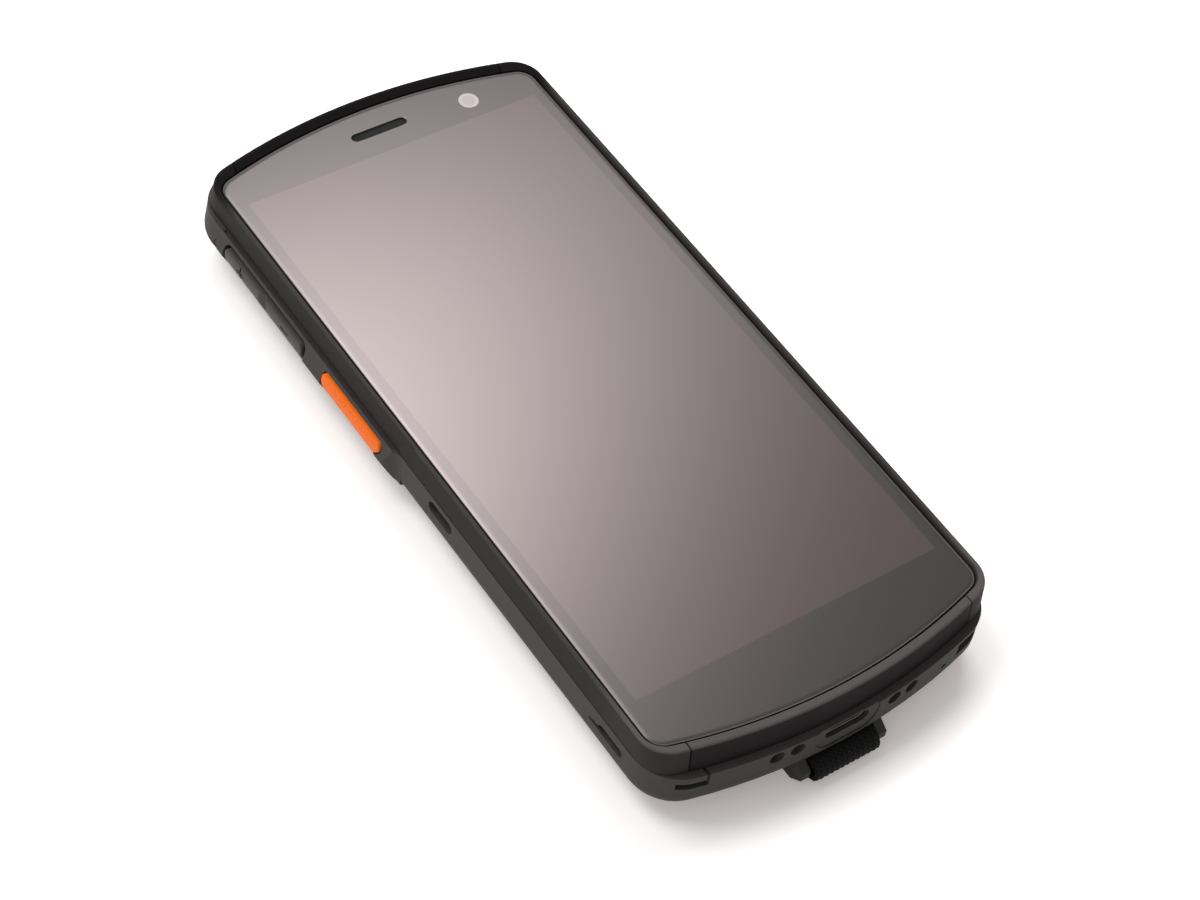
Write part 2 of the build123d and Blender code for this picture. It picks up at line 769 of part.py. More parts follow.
with BuildPart() as rear_housing:
    with BuildSketch(Plane.XY.offset(rear_face)):
        body_outline(0, 0, body_corner)
    extrude(amount=housing_depth)
    fillet(rear_housing.faces().sort_by(Axis.Z)[0].edges(), rear_edge_radius)
    add(platforms.part)
    add(cavity.part, mode=Mode.SUBTRACT)

    # Seat and walls of the battery bay
    with BuildSketch(Plane.XY.offset(floor_top)):
        bay_outline(cover_overlap + bay_wall)
    extrude(amount=seat_top - floor_top)
    with BuildSketch(Plane.XY.offset(floor_top)):
        bay_outline(bay_wall)
    extrude(amount=bay_height)
    with BuildSketch(Plane.XY.offset(rear_face)):
        bay_outline(cover_overlap)
    extrude(amount=cover_thickness, mode=Mode.SUBTRACT)
    with BuildSketch(Plane.XY.offset(rear_face)):
        bay_outline(0)
    extrude(amount=housing_depth, mode=Mode.SUBTRACT)

    # Posts for the lower board
    with BuildSketch(Plane.XY.offset(floor_top - rest_clearance)):
        with Locations(*usb_board_screw_places):
            Circle(post_radius)
    extrude(amount=usb_board_bottom - floor_top + rest_clearance)
    with BuildSketch(Plane.XY.offset(usb_board_bottom - board_screw_length)):
        with Locations(*usb_board_screw_places):
            Circle(board_screw_radius + thread_clearance)
    extrude(amount=board_screw_length, mode=Mode.SUBTRACT)

    # Screw bosses, with their holes from the back
    for screw_y in screw_rows:
        for side in (-1, 1):
            with BuildSketch(Plane.XY.offset(rear_face + rest_clearance)):
                with Locations((side * screw_x, screw_y)):
                    Circle(boss_radius)
            extrude(amount=boss_top - rear_face - 2 * rest_clearance)
            with BuildSketch(Plane.XY.offset(rear_face)):
                with Locations((side * screw_x, screw_y)):
                    Circle(screw_head_radius + hole_clearance)
            extrude(amount=screw_head_setback + screw_head_height, mode=Mode.SUBTRACT)
            with BuildSketch(Plane.XY.offset(rear_face)):
                with Locations((side * screw_x, screw_y)):
                    Circle(screw_radius + hole_clearance)
            extrude(amount=housing_depth, mode=Mode.SUBTRACT)

    # Roof over the top strap anchor, lugs beside both strap folds and room for the webbing
    with BuildSketch(Plane.XY.offset(floor_top)):
        with Locations((0, top_fold_y - fold_run / 2)):
            Rectangle(strap_width + 2 * strap_gap + 2 * anchor_roof, 2 * fold_radius + fold_run + 2 * anchor_roof)
    extrude(amount=anchor_z + fold_radius + strap_gap + anchor_roof - floor_top)
    for fold_y, direction in strap_folds:
        bar_y = fold_y + direction * strap_bar_shift
        nose_y = bar_y - direction * (strap_bar_radius + lug_nose)
        for side in (-1, 1):
            with BuildSketch(Plane.YZ.offset(side * lug_x - lug_width / 2)):
                with BuildLine():
                    Polyline(
                        (nose_y, anchor_z + strap_bar_radius),
                        (nose_y, anchor_z - strap_bar_radius),
                        (nose_y + direction * lug_slant, 0),
                        (nose_y + direction * (fold_run + fold_radius), 0),
                        (nose_y + direction * (fold_run + 2 * fold_radius), rear_face + floor_thickness / 2),
                        (nose_y + direction * fold_radius, floor_top),
                        (nose_y + direction * fold_radius, anchor_z + fold_radius),
                        close=True,
                    )
                make_face()
            extrude(amount=lug_width)
        with BuildSketch(Plane.YZ.offset(-strap_width / 2 - strap_gap)):
            with Locations((fold_y, anchor_z)):
                Circle(fold_radius + strap_gap)
            with Locations((fold_y + direction * fold_run, webbing_lift + 1.5 * webbing_thickness)):
                Circle(webbing_thickness / 2 + strap_gap)
            make_hull()
        extrude(amount=strap_width + 2 * strap_gap, mode=Mode.SUBTRACT)
        with BuildSketch(Plane.YZ.offset(-strap_bar_length / 2)):
            with Locations((bar_y, anchor_z)):
                Circle(strap_bar_radius + thread_clearance)
        extrude(amount=strap_bar_length, mode=Mode.SUBTRACT)

    # Groove under the ring and crease across each platform
    for side in (-1, 1):
        with BuildSketch(Plane.XY.offset(seam_z - groove_depth)):
            groove_start = platform_low + platform_run / 2
            groove_length = display_y + groove_end - groove_start
            with Locations((side * (body_half + groove_width / 2), groove_start + groove_length / 2)):
                Rectangle(groove_width, groove_length)
        extrude(amount=groove_depth, mode=Mode.SUBTRACT)
        with BuildSketch(Plane.XY.offset(rear_face)):
            with BuildLine():
                crease = display_y + crease_y
                Polyline(
                    (side * (platform_half + crease_width), crease - crease_width * 2),
                    (side * (platform_half - crease_depth), crease),
                    (side * (platform_half + crease_width), crease + crease_width * 2),
                    close=True,
                )
            make_face()
        extrude(amount=housing_depth, mode=Mode.SUBTRACT)

    # Openings for the keys, with room behind the lip for their flanges
    for side, outline, gap, flange_width in key_cuts:
        with BuildSketch(side_plane(side, key_lip_x)):
            add(outline(side, gap))
        extrude(amount=platform_half - key_lip_x, mode=Mode.SUBTRACT)
        with BuildSketch(side_plane(side, cavity_half - side_wall)):
            add(outline(side, flange_width + flange_clearance))
        extrude(amount=key_lip_x - cavity_half + side_wall, mode=Mode.SUBTRACT)

    # Charging port: shallow recess, opening and room for the metal shell
    with BuildSketch(end_plane(bottom_apex + port_recess_depth)):
        with Locations((0, port_z)):
            SlotOverall(port_recess_width, port_recess_height)
    extrude(amount=port_recess_depth, mode=Mode.SUBTRACT)
    with BuildSketch(end_plane(bottom_apex + end_wall)):
        with Locations((0, port_z)):
            SlotOverall(port_width, port_height)
    extrude(amount=end_wall, mode=Mode.SUBTRACT)
    with BuildSketch(end_plane(bottom_apex + 2 * end_wall)):
        with Locations((0, port_z)):
            SlotOverall(shell_width + 2 * shell_clearance, shell_height + 2 * shell_clearance)
    extrude(amount=2 * end_wall - port_recess_depth - port_lip, mode=Mode.SUBTRACT)

    # Wells for the dock contacts and the microphone hole
    for contact_x in contact_places:
        wall_y = bottom_apex + wall_setback(contact_x)
        with BuildSketch(end_plane(wall_y + contact_hole_depth)):
            with Locations((contact_x, port_z)):
                Circle(contact_hole_radius)
        extrude(amount=end_wall, mode=Mode.SUBTRACT)
        with BuildSketch(end_plane(wall_y + contact_hole_depth + contact_head_depth)):
            with Locations((contact_x, port_z)):
                Circle(contact_head_radius + thread_clearance)
        extrude(amount=contact_head_depth, mode=Mode.SUBTRACT)
        with BuildSketch(end_plane(wall_y + 2 * end_wall)):
            with Locations((contact_x, port_z)):
                Circle(contact_pin_radius + thread_clearance)
        extrude(amount=2 * end_wall, mode=Mode.SUBTRACT)
    with BuildSketch(end_plane(bottom_apex + wall_setback(mic_x) + 2 * end_wall)):
        with Locations((mic_x, seam_z - mic_drop)):
            Circle(mic_radius)
    extrude(amount=4 * end_wall, mode=Mode.SUBTRACT)

    # Corner slots: lanyard on the left, sound outlet on the right with its duct
    with BuildSketch(Plane.XY.offset(seam_z - lanyard_drop - lanyard_thickness / 2)):
        corner_band(-lanyard_outer_x, -lanyard_inner_x, corner_slot_depth)
    extrude(amount=lanyard_thickness, mode=Mode.SUBTRACT)
    with BuildSketch(Plane.XY.offset(seam_z - lanyard_drop - lanyard_thickness / 2)):
        corner_band(-lanyard_inner_x, -lanyard_inner_x + lanyard_riser, corner_slot_depth)
    extrude(amount=lanyard_riser_height, mode=Mode.SUBTRACT)
    with BuildSketch(Plane.XY.offset(seam_z - speaker_slot_drop - speaker_slot_height / 2)):
        corner_band(speaker_slot_inner_x, speaker_slot_outer_x, corner_slot_depth)
    extrude(amount=speaker_slot_height, mode=Mode.SUBTRACT)
    with BuildSketch(end_plane(bottom_apex + wall_setback(speaker_slot_inner_x) + 2 * end_wall)):
        with Locations((speaker_slot_inner_x + speaker_duct_width / 2, seam_z - speaker_slot_drop)):
            Rectangle(speaker_duct_width, speaker_duct_height)
    extrude(amount=2 * end_wall, mode=Mode.SUBTRACT)

    # Blind slots in the side walls, each in a thicker patch of wall
    for side in (-1, 1):
        for start, length, height, drop in side_slots:
            middle = display_y + start + length / 2
            with BuildSketch(side_plane(side, cavity_half - slot_patch)):
                with Locations((side * middle, seam_z - drop)):
                    Rectangle(length + 2 * slot_patch, height + 2 * slot_floor)
            extrude(amount=slot_patch)
            with BuildSketch(side_plane(side, cavity_half - slot_patch + slot_floor)):
                with Locations((side * middle, seam_z - drop)):
                    SlotOverall(length, height)
            extrude(amount=body_half, mode=Mode.SUBTRACT)
        ramp_start = display_y + grip_pocket_start + grip_pocket_length - grip_pocket_height
        with BuildSketch(Plane.XY.offset(seam_z - grip_pocket_drop - grip_tail_height)):
            with BuildLine():
                Polyline(
                    (side * (body_half + slot_floor), ramp_start),
                    (side * cavity_half, ramp_start),
                    (side * (body_half + slot_floor), ramp_start + grip_pocket_tail + grip_pocket_height),
                    close=True,
                )
            make_face()
        extrude(amount=grip_tail_height, mode=Mode.SUBTRACT)

    # Scanner window seat and the way through the top wall
    with BuildSketch(top_plane(top_apex - window_seat)):
        with Locations((0, window_z)):
            RectangleRounded(window_width, window_height, window_corner)
    extrude(amount=window_seat, mode=Mode.SUBTRACT)
    with BuildSketch(top_plane(top_apex - end_wall)):
        with Locations((0, window_z)):
            RectangleRounded(window_width - 2 * window_border, window_height - 2 * window_border,
                             window_corner / 2)
    extrude(amount=end_wall, mode=Mode.SUBTRACT)

    # Rear camera and flash holes
    with BuildSketch(Plane.XY.offset(rear_face)):
        with Locations((camera_x, display_y + camera_y)):
            Circle(camera_ring_radius + rest_clearance)
    extrude(amount=floor_thickness / 2, mode=Mode.SUBTRACT)
    with BuildSketch(Plane.XY.offset(rear_face)):
        with Locations((camera_x, display_y + camera_y)):
            Circle(camera_barrel_radius + hole_clearance)
        with Locations((flash_x, display_y + flash_y)):
            Circle(flash_radius + rest_clearance)
    extrude(amount=floor_thickness, mode=Mode.SUBTRACT)

    # Cover screw holes, seal groove of the battery cover and the battery contact window
    with BuildSketch(Plane.XY.offset(rear_face)):
        with Locations(*cover_screw_places):
            Circle(cover_screw_radius + thread_clearance)
    extrude(amount=cover_thickness + cover_seat_thickness, mode=Mode.SUBTRACT)
    with BuildSketch(Plane.XY.offset(cover_seat_z)):
        bay_outline(battery_seal_inset + battery_seal_width)
        bay_outline(battery_seal_inset, Mode.SUBTRACT)
    extrude(amount=battery_seal_depth, mode=Mode.SUBTRACT)
    with BuildSketch(Plane.XZ.offset(-bay_top - bay_wall)):
        with Locations((0, seat_top + contact_window_height / 2)):
            Rectangle(contact_block_width, contact_window_height)
    extrude(amount=bay_wall, mode=Mode.SUBTRACT)
finish(rear_housing, "rear_housing")

# Soft seal in the ring's groove
with BuildPart() as housing_seal:
    with BuildSketch(Plane.XY.offset(seam_z)):
        seal_outline(rest_clearance)
        seal_outline(seal_width - rest_clearance, Mode.SUBTRACT)
    extrude(amount=seal_depth)
finish(housing_seal, "housing_seal")

# Six housing screws, put in from the back
with BuildPart() as housing_screws:
    for screw_y in screw_rows:
        for side in (-1, 1):
            with BuildSketch(Plane.XY.offset(rear_face + screw_head_setback)):
                with Locations((side * screw_x, screw_y)):
                    Circle(screw_head_radius)
            extrude(amount=screw_head_height)
            with BuildSketch(Plane.XY.offset(rear_face + screw_head_setback)):
                with Locations((side * screw_x, screw_y)):
                    Circle(screw_radius)
            extrude(amount=chassis_bottom - rear_face - screw_head_setback - rest_clearance)
            with BuildSketch(Plane.XY.offset(rear_face + screw_head_setback)):
                with Locations((side * screw_x, screw_y)):
                    RegularPolygon(screw_socket_radius, 6)
            extrude(amount=screw_socket_depth, mode=Mode.SUBTRACT)
finish(housing_screws, "housing_screws")

# Battery cover with its countersunk screws and seal
with BuildPart() as battery_cover:
    with BuildSketch(Plane.XY.offset(rear_face)):
        bay_outline(cover_overlap - cover_gap)
    extrude(amount=cover_thickness - rest_clearance)
    with BuildSketch(Plane.XY.offset(rear_face)):
        with Locations(*cover_screw_places):
            Circle(cover_screw_head_radius + hole_clearance)
    extrude(amount=cover_screw_head_height, mode=Mode.SUBTRACT)
    with BuildSketch(Plane.XY.offset(rear_face)):
        with Locations(*cover_screw_places):
            Circle(cover_screw_radius + hole_clearance)
    extrude(amount=cover_thickness, mode=Mode.SUBTRACT)
finish(battery_cover, "battery_cover")

with BuildPart() as battery_cover_screws:
    with BuildSketch(Plane.XY.offset(rear_face)):
        with Locations(*cover_screw_places):
            Circle(cover_screw_head_radius)
    extrude(amount=cover_screw_head_height)
    with BuildSketch(Plane.XY.offset(rear_face)):
        with Locations(*cover_screw_places):
            Circle(cover_screw_radius)
    extrude(amount=cover_screw_head_height + cover_screw_length)
    with BuildSketch(Plane.XY.offset(rear_face)):
        with Locations(*cover_screw_places):
            RegularPolygon(cover_screw_radius, 6)
    extrude(amount=cover_screw_head_height / 2, mode=Mode.SUBTRACT)
finish(battery_cover_screws, "battery_cover_screws")

with BuildPart() as battery_seal:
    with BuildSketch(Plane.XY.offset(cover_seat_z)):
        bay_outline(battery_seal_inset + battery_seal_width - rest_clearance)
        bay_outline(battery_seal_inset + rest_clearance, Mode.SUBTRACT)
    extrude(amount=battery_seal_depth)
finish(battery_seal, "battery_seal")

# Battery, the antenna sheet under it and the contacts at its end
battery_bottom = cover_seat_z + antenna_thickness + 2 * rest_clearance
with BuildPart() as battery_pack:
    with BuildSketch(Plane.XY.offset(battery_bottom)):
        bay_outline(-battery_clearance)
    extrude(amount=battery_thickness)
    fillet(battery_pack.edges().filter_by(Plane.XY), battery_edge_radius)
finish(battery_pack, "battery_pack")

with BuildPart() as nfc_antenna:
    with BuildSketch(Plane.XY.offset(cover_seat_z + rest_clearance)):
        with Locations((0, bay_y)):
            Rectangle(antenna_width, antenna_length)
            Rectangle(antenna_width - 2 * antenna_track, antenna_length - 2 * antenna_track,
                      mode=Mode.SUBTRACT)
    extrude(amount=antenna_thickness)
finish(nfc_antenna, "nfc_antenna")

with BuildPart() as battery_contacts:
    with BuildSketch(Plane.XY.offset(seat_top)):
        with Locations((0, bay_top + bay_wall + contact_block_depth / 2)):
            Rectangle(contact_block_width, contact_block_depth)
    extrude(amount=board_bottom - seat_top)
    with BuildSketch(Plane.XY.offset(seat_top + contact_window_height / 4)):
        with Locations((0, bay_top + bay_wall / 2 - battery_clearance / 2 + rest_clearance)):
            with GridLocations(contact_block_width / 5, 0, 4, 1):
                Rectangle(contact_blade_width, bay_wall + battery_clearance)
    extrude(amount=contact_window_height / 2)
finish(battery_contacts, "battery_contacts")

# Main board with its shields, card socket and screws
with BuildPart() as main_board:
    with BuildSketch(Plane.XY.offset(board_bottom)):
        with Locations((0, (main_board_low + main_board_high) / 2)):
            Rectangle(2 * main_board_half_width, main_board_high - main_board_low)
        arm_middle = (main_board_arm_start + main_board_arm_end) / 2
        with Locations((-arm_middle, main_board_high), (arm_middle, main_board_high)):
            Rectangle(main_board_arm_end - main_board_arm_start, main_board_arm_length,
                      align=(Align.CENTER, Align.MIN))
    extrude(amount=board_thickness)
    with BuildSketch(Plane.XY.offset(board_bottom)):
        with Locations(*main_board_screw_places):
            Circle(board_screw_radius + hole_clearance)
    extrude(amount=board_thickness, mode=Mode.SUBTRACT)
finish(main_board, "main_board")

with BuildPart() as shield_cans:
    with BuildSketch(Plane.XY.offset(board_top)):
        with Locations(*shield_places):
            RectangleRounded(shield_width, shield_length, rest_clearance * 10)
    extrude(amount=shield_height)
finish(shield_cans, "shield_cans")

with BuildPart() as card_socket:
    with BuildSketch(Plane.XY.offset(board_bottom - card_height)):
        with Locations((0, (main_board_low + main_board_high) / 2)):
            Rectangle(card_width, card_length)
    extrude(amount=card_height)
finish(card_socket, "card_socket")

with BuildPart() as board_screws:
    with BuildSketch(Plane.XY.offset(board_bottom - board_screw_head_height)):
        with Locations(*main_board_screw_places):
            Circle(board_screw_head_radius)
    extrude(amount=board_screw_head_height)
    with BuildSketch(Plane.XY.offset(board_bottom - board_screw_head_height)):
        with Locations(*main_board_screw_places):
            Circle(board_screw_radius)
    extrude(amount=board_screw_head_height + board_thickness + board_screw_length)
    with BuildSketch(Plane.XY.offset(usb_board_top)):
        with Locations(*usb_board_screw_places):
            Circle(board_screw_head_radius)
    extrude(amount=board_screw_head_height)
    with BuildSketch(Plane.XY.offset(usb_board_bottom - board_screw_length + rest_clearance)):
        with Locations(*usb_board_screw_places):
            Circle(board_screw_radius)
    extrude(amount=board_screw_length + board_thickness)
finish(board_screws, "board_screws")

# Lower board with the charging socket, motor, loudspeaker and microphone
with BuildPart() as usb_board:
    with BuildSketch(Plane.XY.offset(usb_board_bottom)):
        with Locations((0, (usb_board_low + usb_board_high) / 2)):
            Rectangle(2 * usb_board_half_width, usb_board_high - usb_board_low)
    extrude(amount=board_thickness)
    with BuildSketch(Plane.XY.offset(usb_board_bottom)):
        with Locations(*usb_board_screw_places):
            Circle(board_screw_radius + hole_clearance)
    extrude(amount=board_thickness, mode=Mode.SUBTRACT)
finish(usb_board, "usb_board")

shell_front = bottom_apex + port_recess_depth + port_lip + rest_clearance
with BuildPart() as usb_receptacle:
    with BuildSketch(end_plane(shell_front + shell_length)):
        with Locations((0, port_z)):
            SlotOverall(shell_width, shell_height)
    extrude(amount=shell_length)
    with BuildSketch(end_plane(shell_front + shell_length - shell_wall)):
        with Locations((0, port_z)):
            SlotOverall(shell_width - 2 * shell_wall, shell_height - 2 * shell_wall)
    extrude(amount=shell_length, mode=Mode.SUBTRACT)
    with BuildSketch(end_plane(shell_front + shell_length - shell_wall)):
        with Locations((0, port_z)):
            Rectangle(tongue_width, tongue_thickness)
    extrude(amount=shell_length - shell_wall - tongue_setback)
finish(usb_receptacle, "usb_receptacle")

with BuildPart() as dock_contacts:
    for contact_x in contact_places:
        seat_y = bottom_apex + wall_setback(contact_x) + contact_hole_depth + contact_head_depth
        with BuildSketch(end_plane(seat_y)):
            with Locations((contact_x, port_z)):
                Circle(contact_head_radius)
        extrude(amount=contact_head_depth)
        with BuildSketch(end_plane(seat_y)):
            with Locations((contact_x, port_z)):
                Circle(contact_pin_radius)
        extrude(amount=-contact_pin_length)
finish(dock_contacts, "dock_contacts")

with BuildPart() as vibration_motor:
    with BuildSketch(Plane.XY.offset(usb_board_top)):
        with Locations((-motor_x, (usb_board_low + usb_board_high) / 2)):
            Circle(motor_radius)
    extrude(amount=motor_thickness)
finish(vibration_motor, "vibration_motor")

with BuildPart() as loudspeaker:
    with BuildSketch(Plane.XY.offset(usb_board_top)):
        with Locations((motor_x, (usb_board_low + usb_board_high) / 2)):
            RectangleRounded(speaker_length, speaker_width, 1.0)
    extrude(amount=speaker_height)
finish(loudspeaker, "loudspeaker")

with BuildPart() as speaker_mesh:
    with BuildSketch(Plane.XY.offset(seam_z - speaker_slot_drop - speaker_slot_height / 2 + rest_clearance)):
        corner_band(speaker_slot_inner_x + rest_clearance, speaker_slot_outer_x - 1.0,
                    corner_slot_depth - rest_clearance, corner_slot_depth - rest_clearance - mesh_thickness)
    extrude(amount=speaker_slot_height - 2 * rest_clearance)
finish(speaker_mesh, "speaker_mesh")

with BuildPart() as microphone:
    with BuildSketch(Plane.XY.offset(usb_board_bottom)):
        with Locations((mic_x, usb_board_low + mic_size / 2)):
            Rectangle(mic_size, mic_size)
    extrude(amount=-mic_height)
finish(microphone, "microphone")

# Flat cable between the two boards, over the battery
flex_z = battery_bottom + battery_thickness + rest_clearance
with BuildPart() as board_flex:
    with BuildSketch(Plane.YZ.offset(-flex_width / 2)):
        with BuildLine() as flex_line:
            FilletPolyline(
                (usb_board_high - flex_landing, usb_board_top + flex_thickness / 2),
                (usb_board_high + flex_rise, usb_board_top + flex_thickness / 2),
                (bay_low - flex_rise, flex_z + flex_thickness / 2),
                (bay_top + flex_rise, flex_z + flex_thickness / 2),
                (main_board_low + 2 * flex_rise, board_top + flex_thickness / 2),
                (main_board_low + 2 * flex_rise + flex_landing, board_top + flex_thickness / 2),
                radius=flex_radius,
            )
        trace(line_width=flex_thickness)
    extrude(amount=flex_width)
finish(board_flex, "board_flex")

# Scanner: window, engine with its lens and lamps, and bracket
with BuildPart() as scan_window:
    with BuildSketch(top_plane(top_apex - window_seat)):
        with Locations((0, window_z)):
            RectangleRounded(window_width - 2 * window_clearance, window_height - 2 * window_clearance,
                             window_corner)
    extrude(amount=window_thickness)
finish(scan_window, "scan_window")

engine_front = top_apex - end_wall - engine_gap
with BuildPart() as scan_engine:
    with BuildSketch(top_plane(engine_front - engine_lens_length)):
        with Locations((0, window_z)):
            Rectangle(engine_width, engine_height)
    extrude(amount=-engine_depth)
    with BuildSketch(top_plane(engine_front - engine_lens_length)):
        with Locations((engine_width / 4, window_z)):
            Circle(engine_lens_radius)
        with Locations((-engine_width / 6, window_z), (-engine_width / 2.6, window_z)):
            Circle(engine_lens_radius / 1.6)
    extrude(amount=engine_lens_length)
finish(scan_engine, "scan_engine")

with BuildPart() as scan_bracket:
    with BuildSketch(top_plane(engine_front - engine_lens_length)):
        with Locations((0, window_z)):
            Rectangle(engine_width + 2 * (bracket_thickness + rest_clearance),
                      engine_height + 2 * (bracket_thickness + rest_clearance))
            Rectangle(engine_width + 2 * rest_clearance, engine_height + 2 * rest_clearance,
                      mode=Mode.SUBTRACT)
        with Locations((0, window_z + engine_height / 2 + bracket_thickness)):
            Rectangle(engine_width - 2 * bracket_thickness, 2 * bracket_thickness, mode=Mode.SUBTRACT)
    extrude(amount=-engine_depth)
finish(scan_bracket, "scan_bracket")

# Rear camera behind its ring and window, and the flash lens
with BuildPart() as rear_camera:
    with BuildSketch(Plane.XY.offset(floor_top)):
        with Locations((camera_x, display_y + camera_y)):
            Rectangle(camera_module_size, camera_module_size)
    extrude(amount=camera_module_height)
    with BuildSketch(Plane.XY.offset(camera_window_top + rest_clearance)):
        with Locations((camera_x, display_y + camera_y)):
            Circle(camera_barrel_radius)
    extrude(amount=floor_top - camera_window_top)
finish(rear_camera, "rear_camera")

with BuildPart() as camera_ring:
    with BuildSketch(Plane.XY.offset(rear_face - camera_ring_height)):
        with Locations((camera_x, display_y + camera_y)):
            Circle(camera_ring_radius)
            Circle(camera_window_radius + rest_clearance, mode=Mode.SUBTRACT)
    extrude(amount=camera_ring_height + floor_thickness / 2 - rest_clearance)
    chamfer(camera_ring.faces().sort_by(Axis.Z)[0].outer_wire().edges(), camera_ring_height / 2)
finish(camera_ring, "camera_ring")

with BuildPart() as camera_window:
    with BuildSketch(Plane.XY.offset(camera_window_top - camera_window_thickness)):
        with Locations((camera_x, display_y + camera_y)):
            Circle(camera_window_radius)
    extrude(amount=camera_window_thickness)
finish(camera_window, "camera_window")

with BuildPart() as flash_lens:
    with BuildSketch(Plane.XY.offset(rear_face)):
        with Locations((flash_x, display_y + flash_y)):
            Circle(flash_radius)
    extrude(amount=flash_thickness)
finish(flash_lens, "flash_lens")

# Boards with click domes behind the keys
for side, name in ((-1, "key_board_left"), (1, "key_board_right")):
    with BuildPart() as key_board:
        with BuildSketch(side_plane(side, key_board_x)):
            with Locations((side * (key_row_start + key_row_end) / 2, key_z)):
                Rectangle(key_row_end - key_row_start - key_board_margin, key_board_height)
        extrude(amount=key_board_thickness)
        with BuildSketch(side_plane(side, key_board_x + key_board_thickness)):
            for dome_y in dome_places[side]:
                with Locations((side * dome_y, key_z)):
                    Circle(dome_radius)
        extrude(amount=dome_height, taper=dome_taper)
    finish(key_board, name)


def key_blank(side, outline, crown, flange_x, flange_width):
    """A key before its plungers: domed face in its opening, flange behind the lip"""
    with BuildPart() as blank:
        with BuildSketch(side_plane(side, flange_x - key_flange_thickness)):
            add(outline(side, 0))
        extrude(amount=platform_half - flange_x + key_flange_thickness)
        with BuildSketch(Plane.XZ.offset(-top_apex)):
            with Locations((side * (body_half + crown - key_face_radius), key_z + key_face_rise)):
                Circle(key_face_radius)
        extrude(amount=body_length, mode=Mode.INTERSECT)
        domed_face = blank.faces().filter_by(GeomType.CYLINDER).sort_by(SortBy.AREA)[-1]
        fillet(domed_face.edges(), key_edge_radius)
        with BuildSketch(side_plane(side, flange_x - key_flange_thickness)):
            add(outline(side, flange_width))
        extrude(amount=key_flange_thickness)
    return blank.part


# Scan keys on both sides and the power key: each slides in against its dome
for side, outline, name, places in sliding_keys:
    with BuildPart() as key:
        add(key_blank(side, outline, key_crown, key_lip_x - rest_clearance, key_flange_width))
        with BuildSketch(side_plane(side, plunger_tip_x)):
            for plunger_y in places:
                with Locations((side * plunger_y, key_z)):
                    Circle(plunger_radius)
        extrude(amount=key_lip_x - key_flange_thickness - plunger_tip_x)
    finish(key, name)

# Volume rocker: rocks on the rib in its middle, with a notch and engraved marks
rocker_middle = display_y + (rocker_start + rocker_end) / 2
with BuildPart() as volume_rocker:
    add(key_blank(-1, rocker_outline, rocker_crown, key_lip_x - rocker_clearance, rocker_flange_width))
    with BuildSketch(side_plane(-1, plunger_tip_x)):
        for plunger_y in rocker_plungers:
            with Locations((-plunger_y, key_z)):
                Circle(plunger_radius)
    extrude(amount=key_lip_x - rocker_clearance - key_flange_thickness - plunger_tip_x)
    with BuildSketch(Plane.XY.offset(key_z - rocker_height / 2)):
        with BuildLine():
            Polyline(
                (-key_board_x - key_board_thickness - rest_clearance, rocker_middle),
                (-key_lip_x + rocker_clearance + key_flange_thickness, rocker_middle - plunger_radius),
                (-key_lip_x + rocker_clearance + key_flange_thickness, rocker_middle + plunger_radius),
                close=True,
            )
        make_face()
    extrude(amount=rocker_height)
    with BuildSketch(Plane.XY.offset(key_z - rocker_height)):
        with BuildLine():
            Polyline(
                (-platform_half - rocker_notch, rocker_middle - rocker_notch * 2),
                (-platform_half + rocker_notch_depth, rocker_middle),
                (-platform_half - rocker_notch, rocker_middle + rocker_notch * 2),
                close=True,
            )
        make_face()
    extrude(amount=2 * rocker_height, mode=Mode.SUBTRACT)
    with BuildSketch(side_plane(-1, body_half + rocker_crown - mark_depth)):
        with Locations((-(display_y + rocker_start + mark_inset), key_z + mark_rise)):
            Rectangle(mark_length, mark_width)
        with Locations((-(display_y + rocker_end - mark_inset), key_z + mark_rise)):
            Rectangle(mark_length, mark_width)
            Rectangle(mark_width, mark_length)
    extrude(amount=mark_depth, mode=Mode.SUBTRACT)
finish(volume_rocker, "volume_rocker")

# Hand strap: bars in the lugs, webbing looped round both, pad sewn to it
with BuildPart() as strap_bars:
    for fold_y, direction in strap_folds:
        with BuildSketch(Plane.YZ.offset(-strap_bar_length / 2)):
            with Locations((fold_y + direction * strap_bar_shift, anchor_z)):
                Circle(strap_bar_radius)
        extrude(amount=strap_bar_length)
finish(strap_bars, "strap_bars")

with BuildPart() as strap_webbing:
    with BuildSketch(Plane.YZ.offset(-strap_width / 2)):
        for fold_y, direction in strap_folds:
            add(strap_fold(fold_y, direction))
        with Locations(((bottom_fold_y + top_fold_y) / 2, webbing_lift + webbing_thickness / 2)):
            Rectangle(top_fold_y - bottom_fold_y - 2 * fold_run, webbing_thickness)
    extrude(amount=strap_width)
finish(strap_webbing, "strap_webbing")

with BuildPart() as strap_pad:
    with BuildSketch(Plane.XY.offset(webbing_lift + webbing_thickness + rest_clearance)):
        with Locations((0, display_y + pad_y)):
            RectangleRounded(pad_width, pad_length, pad_corner)
    extrude(amount=pad_thickness)
finish(strap_pad, "strap_pad")
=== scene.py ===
"""Dresses the handheld data terminal: screen, meshes, charging port, optics, key dots and strap.

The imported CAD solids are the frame. The terminal's lengths are in millimetres here and become
metres in add_piece. The stage's are in metres.
"""

